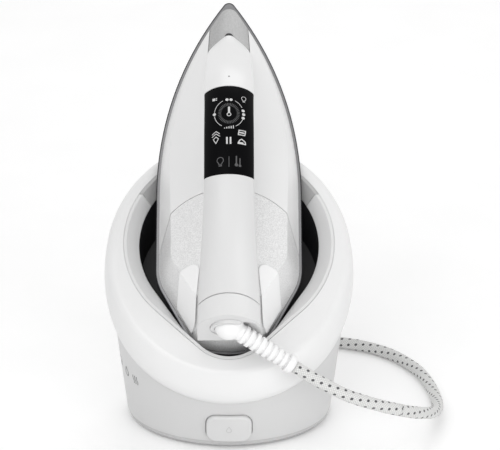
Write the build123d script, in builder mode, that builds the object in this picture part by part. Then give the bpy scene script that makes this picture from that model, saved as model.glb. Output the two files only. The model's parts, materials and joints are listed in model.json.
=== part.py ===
from build123d import *
import os
from math import atan, cos, pi, radians, sin, sqrt, tan

# Steam iron parked nose up in a round docking base, joined to it by a braided hose.
# Millimetres. +Y runs from the heel of the iron to its tip, +X to the right, +Z up.

os.makedirs("parts", exist_ok=True)

# Parked iron: its tilt, and its heel point seen from the base's axis
IRON_TILT = 47.0
HEEL_SETBACK = 50.0
HEEL_HEIGHT = 76.0

# Sole outline, along the iron from the heel point
SOLE_LENGTH = 294.0
SOLE_WIDTH = 114.0
NOSE_START = 128.0
SHOULDER_START = 54.0
SHOULDER_RADIUS = 40.0
HEEL_WIDTH = 54.0
HEEL_BULGE = 5.0
HEEL_CORNER = 14.0
SOLE_THICKNESS = 4.0
SOLE_CHAMFER = 1.2
SOLE_TIP = 5.0
STEAM_HOLE = 2.6
STEAM_HOLE_INSET = 13.0

# Heating under the shell
CASTING_INSET = 11.0
CASTING_HEIGHT = 9.0
CASTING_TIP = 6.0
HEATER_RADIUS = 3.6
HEATER_CLEARANCE = 0.15
HEATER_HALF = 33.0
CHAMBER_HALF = 20.0
CHAMBER_FRONT = 134.0
CHAMBER_REAR = 62.0
COVER_THICKNESS = 2.0

# Body shell above the sole
SHELL_WALL = 2.4
SHELL_GAP = 0.6
SHELL_INSET = 2.6
SHELL_TIP = 9.0
SHELL_DRAFT = 14.0
SHELL_REACH = 64.0
SEAM = 0.35
LOBE_RISE = 1.8
HUMP_FRONT = 252.5
LAMP_TOP = 28.4
LAMP_RADIUS = 3.4

# Handle
GRIP_HALF = 18.5
GRIP_TOP = 121.0
GRIP_FOOT = 16.0
GRIP_THICKNESS = 31.0
GRIP_WALL = 4.5
CAVITY_FLOOR = 7.0
PANEL_FRONT = 172.0
PANEL_REAR = 97.0
CAP_DEPTH = 13.0
CAP_SKIN = 7.5
GAP_FRONT = 160.0
GAP_REAR = 46.0
GAP_CORNER = 11.0
GAP_FLARE = 5.0
HEEL_SEAM_AT = 14.0
HEEL_SEAM_HEIGHT = 88.0
HEEL_SEAM_LEAN = 16.4
HEEL_ELBOW = 72.0
HEEL_FACE = [(9.0, 110.0), (0.0, 78.0), (-3.5, 55.0), (-4.5, 40.0), (3.0, 15.0)]
CAP_RAKE = 16.0

# Steam trigger under the grip
TRIGGER_PIVOT = 150.0
TRIGGER_LENGTH = 37.0
TRIGGER_HALF = 7.0
TRIGGER_CLEARANCE = 0.5
TRIGGER_DROP = 5.5
PIN_RADIUS = 1.5
PIN_CLEARANCE = 0.15

# Base
BASE_BOTTOM_A = 81.0
BASE_BOTTOM_B = 68.0
BASE_TOP_A = 91.0
BASE_TOP_B = 77.0
BASE_TOP_TILT = 36.0
BASE_TOP_HEIGHT = 100.0
BASE_WALL = 3.0
FOOT_HEIGHT = 2.0
FOOT_RADIUS = 8.0
TRAY_HEIGHT = 5.0
TRAY_ROUND = 3.5

# Collar, liner and tub
COLLAR_A = 97.0
COLLAR_B = 84.0
COLLAR_HEIGHT = 119.0
COLLAR_TILT = 38.0
RIM_A = 93.0
RIM_B = 80.5
RIM_HEIGHT = 140.0
RIM_TILT = 40.0
RIM_ROUND = 8.0
POCKET_BACK = 79.5
POCKET_BACK_AT = 6.0
POCKET_FRONT = 30.0
POCKET_FRONT_AT = -62.0
THROAT_BACK = 70.0
THROAT_BACK_AT = 13.0
THROAT_FRONT = 30.0
THROAT_FRONT_AT = -58.5
LINER_DROP = 10.0
LINER_WALL = 2.5
INSERT_AT = 36.5
TUB_DROP = 36.0
TUB_FLOOR = 3.0
FIT = 0.3
REST_HALF = 34.0
REST_FRONT = 14.0
REST_BACK = 128.0
REST_WALL = 3.0
PAD_THICKNESS = 1.5

# Front button
BUTTON_WIDTH = 35.0
BUTTON_HEIGHT = 24.0
BUTTON_ROUND = 8.0
BUTTON_CENTRE = 20.5
BUTTON_PROUD = 3.5
BUTTON_GAP = 0.5
BUTTON_TRAVEL = 3.0

# Hose
BALL_RADIUS = 11.0
BALL_HEIGHT = 62.0
SOCKET_RADIUS = 14.0
SEAT_DEPTH = 12.0
HOSE_RADIUS = 4.75
RELIEF_START = 12.0
RELIEF_LENGTH = 46.0
RELIEF_RIBS = 8
GLAND_X = 40.0
GLAND_HEIGHT = 25.0
GLAND_RADIUS = 8.0
GLAND_REACH = 86.0

# The part's box runs from the heel's brow to the sole's tip, and the base stands where that box is centred
HEEL_BROW_AT = 1.4
HEEL_BROW_HEIGHT = 82.5
tilt = radians(IRON_TILT)
front_reach = HEEL_SETBACK - HEEL_BROW_AT * cos(tilt) + HEEL_BROW_HEIGHT * sin(tilt)
tip_reach = SOLE_LENGTH * cos(tilt) - HEEL_SETBACK
BASE_Y = (front_reach - tip_reach) / 2

along = Vector(0, cos(tilt), sin(tilt))
upward = Vector(0, -sin(tilt), cos(tilt))
heel = Vector(0, BASE_Y - HEEL_SETBACK, HEEL_HEIGHT)
nose_lean = 2 * atan(SOLE_WIDTH / 2 / (SOLE_LENGTH - NOSE_START))
nose_point = SOLE_LENGTH + SOLE_TIP * (1 / sin(nose_lean) - 1)
shell_foot = SOLE_THICKNESS + SHELL_GAP
casting_top = SOLE_THICKNESS + CASTING_HEIGHT
cover_top = casting_top + COVER_THICKNESS
shell_base = FOOT_HEIGHT + TRAY_HEIGHT


def iron_point(x, u, h):
    """A place on the parked iron: across, along the sole, above the sole."""
    return Vector(x, 0, 0) + heel + along * u + upward * h


def iron_level(h, u=0.0):
    """A plane parallel to the sole, its Y towards the tip."""
    return Plane(origin=iron_point(0, u, h), x_dir=(1, 0, 0), z_dir=upward)


def iron_station(u, h=0.0):
    """A plane across the iron, facing the heel, its Y away from the sole."""
    return Plane(origin=iron_point(0, u, h), x_dir=(1, 0, 0), z_dir=-along)


def iron_side(x=0.0):
    """A plane lengthwise through the iron: X along the sole, Y away from it."""
    return Plane(origin=iron_point(x, 0, 0), x_dir=along, z_dir=(1, 0, 0))


def base_plane(height, angle=0.0):
    """A plane through the base's axis, its back raised by the angle."""
    lean = radians(angle)
    return Plane(origin=(0, BASE_Y, height), x_dir=(1, 0, 0), z_dir=(0, -sin(lean), cos(lean)))


def base_back(x, y, z):
    """A plane that faces the back of the base, its Y up."""
    return Plane(origin=(x, BASE_Y + y, z), x_dir=(-1, 0, 0), z_dir=(0, 1, 0))


def base_front(x, y, z):
    """A plane that faces the front of the base, its Y up."""
    return Plane(origin=(x, BASE_Y + y, z), x_dir=(1, 0, 0), z_dir=(0, -1, 0))


def save(piece, name):
    piece.label = name
    export_step(piece, f"parts/{name}.step")


def sole_outline(plane, inset=0.0, tip=0.0):
    """Pointed nose, parallel flanks, tapered and blunt heel."""
    half = SOLE_WIDTH / 2
    blunt = HEEL_WIDTH / 2
    with BuildSketch(plane) as outline:
        with BuildLine():
            TangentArc((half, NOSE_START), (0, nose_point), tangent=(0, 1))
            Polyline((half, NOSE_START), (half, SHOULDER_START), (blunt, 0))
            mirror(about=Plane.YZ)
            ThreePointArc((blunt, 0), (0, -HEEL_BULGE), (-blunt, 0))
        make_face()
        fillet(outline.vertices().group_by(Axis.Y)[1], SHOULDER_RADIUS)
        fillet(outline.vertices().group_by(Axis.Y)[0], HEEL_CORNER)
        if inset:
            offset(amount=-inset, kind=Kind.INTERSECTION)
        if tip:
            fillet(outline.vertices().sort_by(Axis.Y)[-1], tip)
    return outline.sketch


def nose_half(u):
    """Half width of the sole at a place along the nose or the flank."""
    half = SOLE_WIDTH / 2
    rise = nose_point - NOSE_START
    radius = (rise**2 + half**2) / (2 * half)
    past = max(u - NOSE_START, 0)
    return half - radius + sqrt(radius**2 - past**2)


# Soleplate with its steam holes
STEAM_HOLE_ROWS = 6
STEAM_HOLE_STEP = 22.0

with BuildPart() as soleplate:
    add(sole_outline(iron_level(0), SOLE_CHAMFER, SOLE_TIP))
    add(sole_outline(iron_level(SOLE_CHAMFER), 0, SOLE_TIP))
    loft(ruled=True)
    extrude(sole_outline(iron_level(SOLE_CHAMFER), 0, SOLE_TIP), amount=SOLE_THICKNESS - SOLE_CHAMFER)
    with BuildSketch(iron_level(0)):
        for row in range(STEAM_HOLE_ROWS):
            hole_at = NOSE_START + STEAM_HOLE_STEP * row
            aside = nose_half(hole_at) - STEAM_HOLE_INSET
            with Locations((aside, hole_at), (-aside, hole_at)):
                Circle(STEAM_HOLE / 2)
    extrude(amount=SOLE_THICKNESS, mode=Mode.SUBTRACT)
save(soleplate.part, "soleplate")

# Body: a drafted prism under a crowned dome, as stations of place, half chord, edge and crown
DOME_STATIONS = (
    (-20.0, 60.0, 16.0, 47.0),
    (25.0, 62.0, 19.0, 60.0),
    (SHOULDER_START + 20, 62.0, 20.0, 62.0),
    (NOSE_START, 62.0, 14.0, 58.0),
    (195.0, 55.0, 4.0, 47.0),
    (250.0, 33.0, 3.0, 28.0),
    (SOLE_LENGTH + 4, 10.0, 2.0, 6.0),
)


def body_form(inset):
    """The body's outer form, or one that lies inside it by the inset."""
    with BuildPart() as form:
        for u, chord, edge, crown in DOME_STATIONS:
            right = (chord, edge - inset)
            left = (-chord, edge - inset)
            with BuildSketch(iron_station(u)):
                with BuildLine():
                    Polyline(left, (-chord, -GRIP_FOOT), (chord, -GRIP_FOOT), right)
                    ThreePointArc(right, (0, crown - inset), left)
                make_face()
        loft()
        plan = sole_outline(iron_level(shell_foot), SHELL_INSET + inset, SHELL_TIP - inset)
        extrude(plan, amount=SHELL_REACH, taper=SHELL_DRAFT, mode=Mode.INTERSECT)
    return form.part


body_outer = body_form(0.0)
body_inner = body_form(SHELL_WALL)
body_proud = body_form(-LOBE_RISE)

# Handle: crowned sections from the nose hump to the heel, as place, half width and top
HANDLE_STATIONS = (
    (HUMP_FRONT, 3.0, 29.5),
    (244.0, 11.0, 37.0),
    (234.0, 16.0, 48.0),
    (214.0, 18.0, 72.0),
    (190.0, GRIP_HALF, 99.0),
    (165.0, GRIP_HALF, GRIP_TOP - 7),
    (130.0, GRIP_HALF, GRIP_TOP),
    (95.0, GRIP_HALF, GRIP_TOP),
    (55.0, GRIP_HALF + 1.5, GRIP_TOP - 9),
    (20.0, GRIP_HALF + 4, GRIP_TOP - 26),
    (-12.0, GRIP_HALF + 5.5, GRIP_TOP - 49),
)
with BuildPart() as handle_mass:
    for u, half, top in HANDLE_STATIONS:
        brow = top - 0.55 * half
        with BuildSketch(iron_station(u)) as crowned:
            with BuildLine():
                Polyline((-half, brow), (-half, GRIP_FOOT), (half, GRIP_FOOT), (half, brow))
                ThreePointArc((half, brow), (0, top), (-half, brow))
            make_face()
            fillet(crowned.vertices().group_by(Axis.Y)[-1], 0.28 * half)
    loft()


def grip_line(depth):
    """The handle's top line from heel to panel front, lowered by a depth."""
    front = (PANEL_FRONT - 4, GRIP_TOP - 10 - depth)
    return [front] + [(u, top - depth) for u, half, top in HANDLE_STATIONS if u < PANEL_FRONT - 10]


def side_region(points, curved=0):
    """A lengthwise region of the iron in its side view, its first points on a curve."""
    with BuildSketch(iron_side()) as region:
        with BuildLine():
            if curved:
                Spline(points[:curved])
            Polyline(points[max(curved - 1, 0):] + points[:1])
        make_face()
    return region.sketch


WIDE = 100.0
HIGH = GRIP_TOP + 40
seam_slope = tan(radians(HEEL_SEAM_LEAN))


def seam_at(h):
    """Place along the iron of the seam between grip and heel cover."""
    return HEEL_SEAM_AT + (h - HEEL_SEAM_HEIGHT) * seam_slope


def heel_region(grow=0.0):
    """Everything behind the heel seam, which drops straight below its elbow."""
    elbow = seam_at(HEEL_ELBOW) + grow
    return [(elbow, 0), (elbow, HEEL_ELBOW), (seam_at(HIGH) + grow, HIGH), (-WIDE, HIGH), (-WIDE, 0)]


def cap_region(lift=0.0):
    """Everything above the handle's top parting line, or a little above that line."""
    line = grip_line(CAP_DEPTH - lift)
    front, low = line[0]
    return [(front - lift, low)] + line[1:] + [(-WIDE, HIGH), (PANEL_FRONT + CAP_RAKE - lift, HIGH)]


CAP_BENDS = len(grip_line(0))
behind_heel = HEEL_FACE + [(-WIDE, GRIP_FOOT - 1), (-WIDE, HIGH)]
cavity_low = grip_line(GRIP_THICKNESS - CAVITY_FLOOR)[:-2]
cavity_high = grip_line(CAP_SKIN)[:-2]
cavity_region = cavity_low + cavity_high[::-1]
gap_roof = GRIP_TOP - GRIP_THICKNESS
gap_front_top = (GAP_FRONT, gap_roof - 5)
gap_rear_top = (GAP_REAR + 8, gap_roof - 8)


def gap_sketch(x, grow=0.0):
    """The finger gap's outline: an arched roof between two leaning posts."""
    with BuildSketch(iron_side(x)) as region:
        with BuildLine():
            ThreePointArc(gap_front_top, (PANEL_REAR, gap_roof + 1), gap_rear_top)
            Polyline(gap_rear_top, (GAP_REAR, GRIP_FOOT), (GAP_FRONT + 12, GRIP_FOOT), gap_front_top)
        make_face()
        fillet(region.vertices().sort_by(Axis.Y)[2:4], GAP_CORNER)
        if grow:
            offset(amount=grow, kind=Kind.INTERSECTION)
    return region.sketch


with BuildPart() as finger_gap:
    extrude(gap_sketch(0), amount=WIDE / 2, both=True)
    add(gap_sketch(GRIP_HALF - GAP_FLARE))
    add(gap_sketch(GRIP_HALF + GAP_FLARE, GAP_FLARE))
    loft(ruled=True)
    mirror(about=Plane.YZ)

# Ball seat that the heel and the handle are bored for
with BuildPart() as seat_bore:
    with BuildSketch(iron_station(SEAT_DEPTH, BALL_HEIGHT)):
        Circle(SOCKET_RADIUS + PIN_CLEARANCE)
    extrude(amount=WIDE / 2)

with BuildPart() as lamp_bore:
    with BuildSketch(iron_level(casting_top, HUMP_FRONT)):
        Circle(LAMP_RADIUS + PIN_CLEARANCE)
    extrude(amount=WIDE / 2)

# Body shell, split in plan into skirt, silver rear shell and nose cap
REAR_EDGE_AT = 60.0
REAR_CORNER = (44.0, 96.0)
REAR_TOP_AT = 110.0
CAP_BACK = (16.9, 232.0)
CAP_BACK_MIDDLE = 246.0
CAP_FRONT_HALF = 13.5


def rear_plan(grow=0.0):
    x, u = REAR_CORNER
    with BuildSketch(iron_level(0)) as plan:
        with BuildLine():
            ThreePointArc((x, u), (0, REAR_TOP_AT), (-x, u))
            left_edge = (-SOLE_WIDTH / 2 - 6, REAR_EDGE_AT)
            right_edge = (SOLE_WIDTH / 2 + 6, REAR_EDGE_AT)
            Polyline((-x, u), left_edge, (-WIDE, -WIDE), (WIDE, -WIDE), right_edge, (x, u))
        make_face()
        if grow:
            offset(amount=grow, kind=Kind.INTERSECTION)
    return plan.sketch


def cap_plan(grow=0.0):
    x, u = CAP_BACK
    with BuildSketch(iron_level(0)) as plan:
        with BuildLine():
            ThreePointArc((x, u), (0, CAP_BACK_MIDDLE), (-x, u))
            far = SOLE_LENGTH + 10
            Polyline((-x, u), (-CAP_FRONT_HALF, far), (CAP_FRONT_HALF, far), (x, u))
        make_face()
        if grow:
            offset(amount=grow, kind=Kind.INTERSECTION)
    return plan.sketch


with BuildPart() as body_shell:
    add(body_outer)
    add(body_inner, mode=Mode.SUBTRACT)
    add(seat_bore.part, mode=Mode.SUBTRACT)
    add(lamp_bore.part, mode=Mode.SUBTRACT)

with BuildPart() as skirt:
    add(body_shell.part)
    extrude(rear_plan(), amount=WIDE, mode=Mode.SUBTRACT)
    extrude(cap_plan(), amount=WIDE, mode=Mode.SUBTRACT)
save(skirt.part, "skirt")

with BuildPart() as rear_shell:
    add(body_shell.part)
    extrude(rear_plan(-SEAM), amount=WIDE, mode=Mode.INTERSECT)

with BuildPart() as nose_cap:
    add(body_shell.part)
    extrude(cap_plan(-SEAM), amount=WIDE, mode=Mode.INTERSECT)
save(nose_cap.part, "nose_cap")

# White lobes beside the rear of the handle, laid on the silver shell
LOBE_OUTLINE = ((21.5, 52.0), (37.0, 45.5), (41.0, 24.0), (37.0, 10.5), (26.0, 8.5))
LOBE_CORNER = 5.0


def lobe(side):
    with BuildPart() as pad:
        with BuildSketch(iron_level(casting_top)) as plan:
            with BuildLine():
                Polyline([(side * x, u) for x, u in LOBE_OUTLINE], close=True)
            make_face()
            fillet(plan.vertices(), LOBE_CORNER)
        extrude(amount=WIDE)
        add(body_proud, mode=Mode.INTERSECT)
        add(body_outer, mode=Mode.SUBTRACT)
        add(handle_mass.part, mode=Mode.SUBTRACT)
    return pad.part


# Handle pieces
def across(points, curved=0):
    """A side view region as a solid across the whole iron."""
    with BuildPart() as block:
        extrude(side_region(points, curved), amount=WIDE / 2, both=True)
    return block.part


with BuildPart() as grip_cavity:
    extrude(side_region(cavity_region), amount=GRIP_HALF - GRIP_WALL, both=True)

with BuildPart() as handle_frame:
    add(handle_mass.part)
    add(across(heel_region()), mode=Mode.SUBTRACT)
    add(across(cap_region(), CAP_BENDS), mode=Mode.SUBTRACT)
    add(grip_cavity.part, mode=Mode.SUBTRACT)
    add(finger_gap.part, mode=Mode.SUBTRACT)
    add(body_outer, mode=Mode.SUBTRACT)
    add(seat_bore.part, mode=Mode.SUBTRACT)


def cap_piece(start, stop):
    """A length of the handle's top cover between two places along the iron."""
    with BuildPart() as cover:
        add(handle_mass.part)
        add(across(cap_region(SEAM), CAP_BENDS), mode=Mode.INTERSECT)
        add(across(heel_region(SEAM)), mode=Mode.SUBTRACT)
        add(across([(start, 0), (stop, 0), (stop, HIGH), (start, HIGH)]), mode=Mode.INTERSECT)
        add(grip_cavity.part, mode=Mode.SUBTRACT)
    return cover.part


control_panel = cap_piece(PANEL_REAR + SEAM / 2, SOLE_LENGTH)
save(control_panel, "control_panel")
grip_cover = cap_piece(-WIDE, PANEL_REAR - SEAM / 2)
save(grip_cover, "grip_cover")

with BuildPart() as heel_cover:
    add(handle_mass.part)
    add(across(heel_region(-SEAM / 2)), mode=Mode.INTERSECT)
    add(across(behind_heel), mode=Mode.SUBTRACT)
    add(body_outer, mode=Mode.SUBTRACT)
    add(seat_bore.part, mode=Mode.SUBTRACT)

for side, name in ((-1, "heel_lobe_left"), (1, "heel_lobe_right")):
    piece = lobe(side)
    save(piece, name)



# Steam trigger on its cross pin, its spring and the switch that it presses
PIVOT_SINK = 0.8
TRIGGER_RAKE = 3.2
TRIGGER_ROUND = 1.4
SLOT_DEPTH = 12.0
SLOT_ROOM = 2.0
pivot_height = gap_roof - PIVOT_SINK


def trigger_slot():
    rear = TRIGGER_PIVOT - TRIGGER_LENGTH - 3 * TRIGGER_CLEARANCE
    front = TRIGGER_PIVOT + 2 * TRIGGER_RAKE
    roof = gap_roof + CAVITY_FLOOR + SLOT_ROOM
    foot = gap_roof - SLOT_DEPTH
    with BuildPart() as slot:
        outline = side_region([(rear, foot), (front, foot), (front, roof), (rear, roof)])
        extrude(outline, amount=TRIGGER_HALF + TRIGGER_CLEARANCE, both=True)
    return slot.part


def cross_bar(radius, half):
    """A round bar across the iron on the trigger's pivot."""
    with BuildPart() as bar:
        with BuildSketch(iron_side()):
            with Locations((TRIGGER_PIVOT, pivot_height)):
                Circle(radius)
        extrude(amount=half, both=True)
    return bar.part


with BuildPart() as steam_trigger:
    tail = TRIGGER_PIVOT - TRIGGER_LENGTH
    with BuildSketch(iron_side()) as lever:
        with BuildLine():
            Polyline(
                (TRIGGER_PIVOT + TRIGGER_RAKE, pivot_height + 2),
                (tail, gap_roof + 2.5),
                (tail, gap_roof - 2),
                (tail + 5, gap_roof - TRIGGER_DROP - 1),
                (TRIGGER_PIVOT - 8, gap_roof - TRIGGER_DROP - 2),
                (TRIGGER_PIVOT + TRIGGER_RAKE, pivot_height - 3),
                close=True,
            )
        make_face()
        fillet(lever.vertices(), TRIGGER_ROUND)
    extrude(amount=TRIGGER_HALF, both=True)
    add(cross_bar(PIN_RADIUS + PIN_CLEARANCE, TRIGGER_HALF + 1), mode=Mode.SUBTRACT)
save(steam_trigger.part, "steam_trigger")

PIN_HALF = TRIGGER_HALF + 5
save(cross_bar(PIN_RADIUS, PIN_HALF), "trigger_pin")

BOARD_HEIGHT = 101.0
BOARD_THICKNESS = 1.6
BOARD_REAR = 104.0
BOARD_FRONT = 156.0
CHIP = 6.0
CHIP_HEIGHT = 1.2
CHIP_STEP_ACROSS = 12.0
CHIP_STEP_ALONG = 16.0
with BuildPart() as control_board:
    with BuildSketch(iron_level(BOARD_HEIGHT)):
        with Locations((0, (BOARD_REAR + BOARD_FRONT) / 2)):
            Rectangle(2 * (GRIP_HALF - GRIP_WALL - FIT), BOARD_FRONT - BOARD_REAR)
    extrude(amount=BOARD_THICKNESS)
    with BuildSketch(iron_level(BOARD_HEIGHT + BOARD_THICKNESS)):
        with GridLocations(CHIP_STEP_ACROSS, CHIP_STEP_ALONG, 2, 3):
            with Locations((0, (BOARD_REAR + BOARD_FRONT) / 2)):
                Rectangle(CHIP, CHIP)
    extrude(amount=CHIP_HEIGHT)
save(control_board.part, "control_board")

SWITCH_HEIGHT = 3.4
SWITCH_WIDTH = 8.0
SWITCH_LENGTH = 12.0
SWITCH_INSET = 9.0
with BuildPart() as trigger_switch:
    with BuildSketch(iron_level(BOARD_HEIGHT)):
        with Locations((0, TRIGGER_PIVOT - TRIGGER_LENGTH + SWITCH_INSET)):
            Rectangle(SWITCH_WIDTH, SWITCH_LENGTH)
    extrude(amount=-SWITCH_HEIGHT)
save(trigger_switch.part, "trigger_switch")


def coil_spring(plane, radius, wire, height, turns):
    """An open coil spring that stands on a plane."""
    with BuildPart() as spring:
        with BuildLine(plane.offset(wire)) as path:
            Helix((height - 2 * wire) / turns, height - 2 * wire, radius, direction=plane.z_dir)
        with BuildSketch(Plane(origin=path.line @ 0, z_dir=path.line % 0)):
            Circle(wire)
        sweep(is_frenet=True)
    return spring.part


SPRING_WIRE = 0.45
SPRING_RADIUS = 2.8
SPRING_TURNS = 4
SPRING_LIFT = 2.4
SPRING_AT = 16.0
spring_seat = gap_roof + SPRING_LIFT
spring_room = BOARD_HEIGHT - FIT - spring_seat
spring_foot = iron_level(spring_seat, TRIGGER_PIVOT - SPRING_AT)
trigger_spring = coil_spring(spring_foot, SPRING_RADIUS, SPRING_WIRE, spring_room, SPRING_TURNS)
save(trigger_spring, "trigger_spring")

# Steam pipe from the ball seat to the steam chamber
PIPE_RADIUS = 3.5
PIPE_BEND = 9.0
PIPE_LANDING = 84.0
PIPE_LEVEL_RUN = 17.0
PIPE_DROP = 27.0


def pipe_form(radius):
    with BuildPart() as pipe:
        with BuildLine(iron_side()) as path:
            FilletPolyline(
                (SEAT_DEPTH, BALL_HEIGHT),
                (SEAT_DEPTH + PIPE_LEVEL_RUN, BALL_HEIGHT),
                (PIPE_LANDING, BALL_HEIGHT - PIPE_DROP),
                (PIPE_LANDING, cover_top),
                radius=PIPE_BEND,
            )
        with BuildSketch(Plane(origin=path.line @ 0, z_dir=path.line % 0)):
            Circle(radius)
        sweep()
    return pipe.part


save(pipe_form(PIPE_RADIUS), "steam_pipe")
pipe_bore = pipe_form(PIPE_RADIUS + FIT)

with BuildPart() as bored_frame:
    add(handle_frame.part)
    add(trigger_slot(), mode=Mode.SUBTRACT)
    add(cross_bar(PIN_RADIUS + PIN_CLEARANCE, PIN_HALF + FIT), mode=Mode.SUBTRACT)
    add(pipe_bore, mode=Mode.SUBTRACT)
save(bored_frame.part, "handle_frame")

with BuildPart() as bored_shell:
    add(rear_shell.part)
    add(pipe_bore, mode=Mode.SUBTRACT)
save(bored_shell.part, "rear_shell")

# Heater casting, tubular heater, steam chamber cover and thermostat
HEATER_REAR = 34.0
HEATER_NOSE = 232.0
HEATER_BEND = 13.0
HEATER_TOE_IN = 7.0
HEATER_TOE = 36.0


def heater_form(radius):
    with BuildPart() as tube:
        with BuildLine(iron_level(casting_top)) as path:
            FilletPolyline(
                (HEATER_HALF - HEATER_TOE_IN, HEATER_REAR),
                (HEATER_HALF, HEATER_REAR + HEATER_TOE),
                (HEATER_HALF, NOSE_START),
                (0, HEATER_NOSE),
                (-HEATER_HALF, NOSE_START),
                (-HEATER_HALF, HEATER_REAR + HEATER_TOE),
                (HEATER_TOE_IN - HEATER_HALF, HEATER_REAR),
                radius=HEATER_BEND,
            )
        with BuildSketch(Plane(origin=path.line @ 0, z_dir=path.line % 0)):
            Circle(radius)
        sweep()
    return tube.part


save(heater_form(HEATER_RADIUS), "sole_heater")


CHAMBER_ROUND = 8.0


def chamber_plan(h, grow=0.0):
    long = CHAMBER_FRONT - CHAMBER_REAR
    with BuildSketch(iron_level(h)) as plan:
        with Locations((0, (CHAMBER_FRONT + CHAMBER_REAR) / 2)):
            RectangleRounded(2 * (CHAMBER_HALF + grow), long + 2 * grow, CHAMBER_ROUND + grow)
    return plan.sketch


CHAMBER_DEPTH = 5.0
COVER_LAP = 4.0
with BuildPart() as heater_casting:
    extrude(sole_outline(iron_level(SOLE_THICKNESS), CASTING_INSET, CASTING_TIP), amount=CASTING_HEIGHT)
    extrude(chamber_plan(casting_top), amount=-CHAMBER_DEPTH, mode=Mode.SUBTRACT)
    add(heater_form(HEATER_RADIUS + HEATER_CLEARANCE), mode=Mode.SUBTRACT)
save(heater_casting.part, "heater_casting")

with BuildPart() as chamber_cover:
    extrude(chamber_plan(casting_top, COVER_LAP), amount=COVER_THICKNESS)
save(chamber_cover.part, "chamber_cover")

THERMOSTAT_RADIUS = 8.0
THERMOSTAT_HEIGHT = 5.0
THERMOSTAT_GAP = 2.0
TAB_STEP = 8.0
TAB_WIDTH = 5.0
TAB_THICKNESS = 1.0
TAB_HEIGHT = 6.0
thermostat_at = CHAMBER_REAR - COVER_LAP - THERMOSTAT_RADIUS - THERMOSTAT_GAP
with BuildPart() as sole_thermostat:
    with BuildSketch(iron_level(casting_top, thermostat_at)):
        Circle(THERMOSTAT_RADIUS)
    extrude(amount=THERMOSTAT_HEIGHT)
    with BuildSketch(iron_level(casting_top + THERMOSTAT_HEIGHT, thermostat_at)):
        with GridLocations(TAB_STEP, 0, 2, 1):
            Rectangle(TAB_THICKNESS, TAB_WIDTH)
    extrude(amount=TAB_HEIGHT)
save(sole_thermostat.part, "sole_thermostat")

# Nose lamp, which looks out from under the front of the handle's hump
LAMP_FOOT = 16.0
LAMP_ROUND = 1.6
with BuildPart() as nose_lamp:
    with BuildSketch(iron_level(LAMP_FOOT, HUMP_FRONT)):
        Circle(LAMP_RADIUS)
    extrude(amount=LAMP_TOP - LAMP_FOOT)
    fillet(nose_lamp.faces().sort_by(Axis(heel, upward))[-1].edges(), LAMP_ROUND)
    add(handle_mass.part, mode=Mode.SUBTRACT)
save(nose_lamp.part, "nose_lamp")

# Ball seat, ball and ribbed strain relief, which swings about the iron's length
BALL_FIT = 0.3
SEAT_BACK = 3.0
NECK_RADIUS = 6.4
RIB_RADIUS = 7.2
RIB_TAPER = 1.2
RIB_DEPTH = 1.5
RIB_SHARE = 0.6
END_COLLAR = 6.0
END_ROUND = 2.0
SWING_DOWN = 10.0
SWING_UP = 40.0
SWING_ROOM = 0.8
SWING_START = 5.0
ball = iron_point(0, 0, BALL_HEIGHT)
RELIEF_TIP = (46.9, -99.0, 87.4)
relief_tip = Vector(RELIEF_TIP) + Vector(0, BASE_Y, 0)
relief_axis = (relief_tip - ball).normalized()
relief_end = RELIEF_START + RELIEF_LENGTH
swing_axis = Axis(ball, -along)
lowest_axis = relief_axis.rotate(swing_axis, -SWING_DOWN)
room_radius = RIB_RADIUS + SWING_ROOM

with BuildPart() as swing_room:
    for angle in (-SWING_DOWN, SWING_UP):
        with BuildSketch(Plane(origin=ball, z_dir=relief_axis.rotate(swing_axis, angle))):
            Circle(room_radius)
        extrude(amount=relief_end)
    with BuildSketch(Plane(origin=ball, x_dir=lowest_axis, z_dir=lowest_axis.cross(along).normalized())):
        with Locations(((SWING_START + relief_end) / 2, 0)):
            Rectangle(relief_end - SWING_START, 2 * room_radius)
    revolve(axis=swing_axis, revolution_arc=SWING_UP + SWING_DOWN)

with BuildPart() as notched_cover:
    add(heel_cover.part)
    add(swing_room.part, mode=Mode.SUBTRACT)
save(notched_cover.part, "heel_cover")

with BuildPart() as swivel_socket:
    with BuildSketch(iron_station(SEAT_DEPTH, BALL_HEIGHT)):
        Circle(SOCKET_RADIUS)
    extrude(amount=SEAT_DEPTH + SEAT_BACK)
    with Locations(ball):
        Sphere(BALL_RADIUS + BALL_FIT, mode=Mode.SUBTRACT)
    add(swing_room.part, mode=Mode.SUBTRACT)
save(swivel_socket.part, "swivel_socket")

relief_side = Plane(origin=ball, x_dir=relief_axis, z_dir=relief_axis.cross(along).normalized())
neck_at = sqrt(BALL_RADIUS**2 - NECK_RADIUS**2)
with BuildPart() as hose_swivel:
    with BuildSketch(relief_side):
        with BuildLine():
            ThreePointArc((-BALL_RADIUS, 0), (0, BALL_RADIUS), (neck_at, NECK_RADIUS))
            Polyline(
                (neck_at, NECK_RADIUS),
                (RELIEF_START, NECK_RADIUS),
                (RELIEF_START, 0),
                (-BALL_RADIUS, 0),
            )
        make_face()
    revolve(axis=Axis(ball, relief_axis))
save(hose_swivel.part, "hose_swivel")

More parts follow.
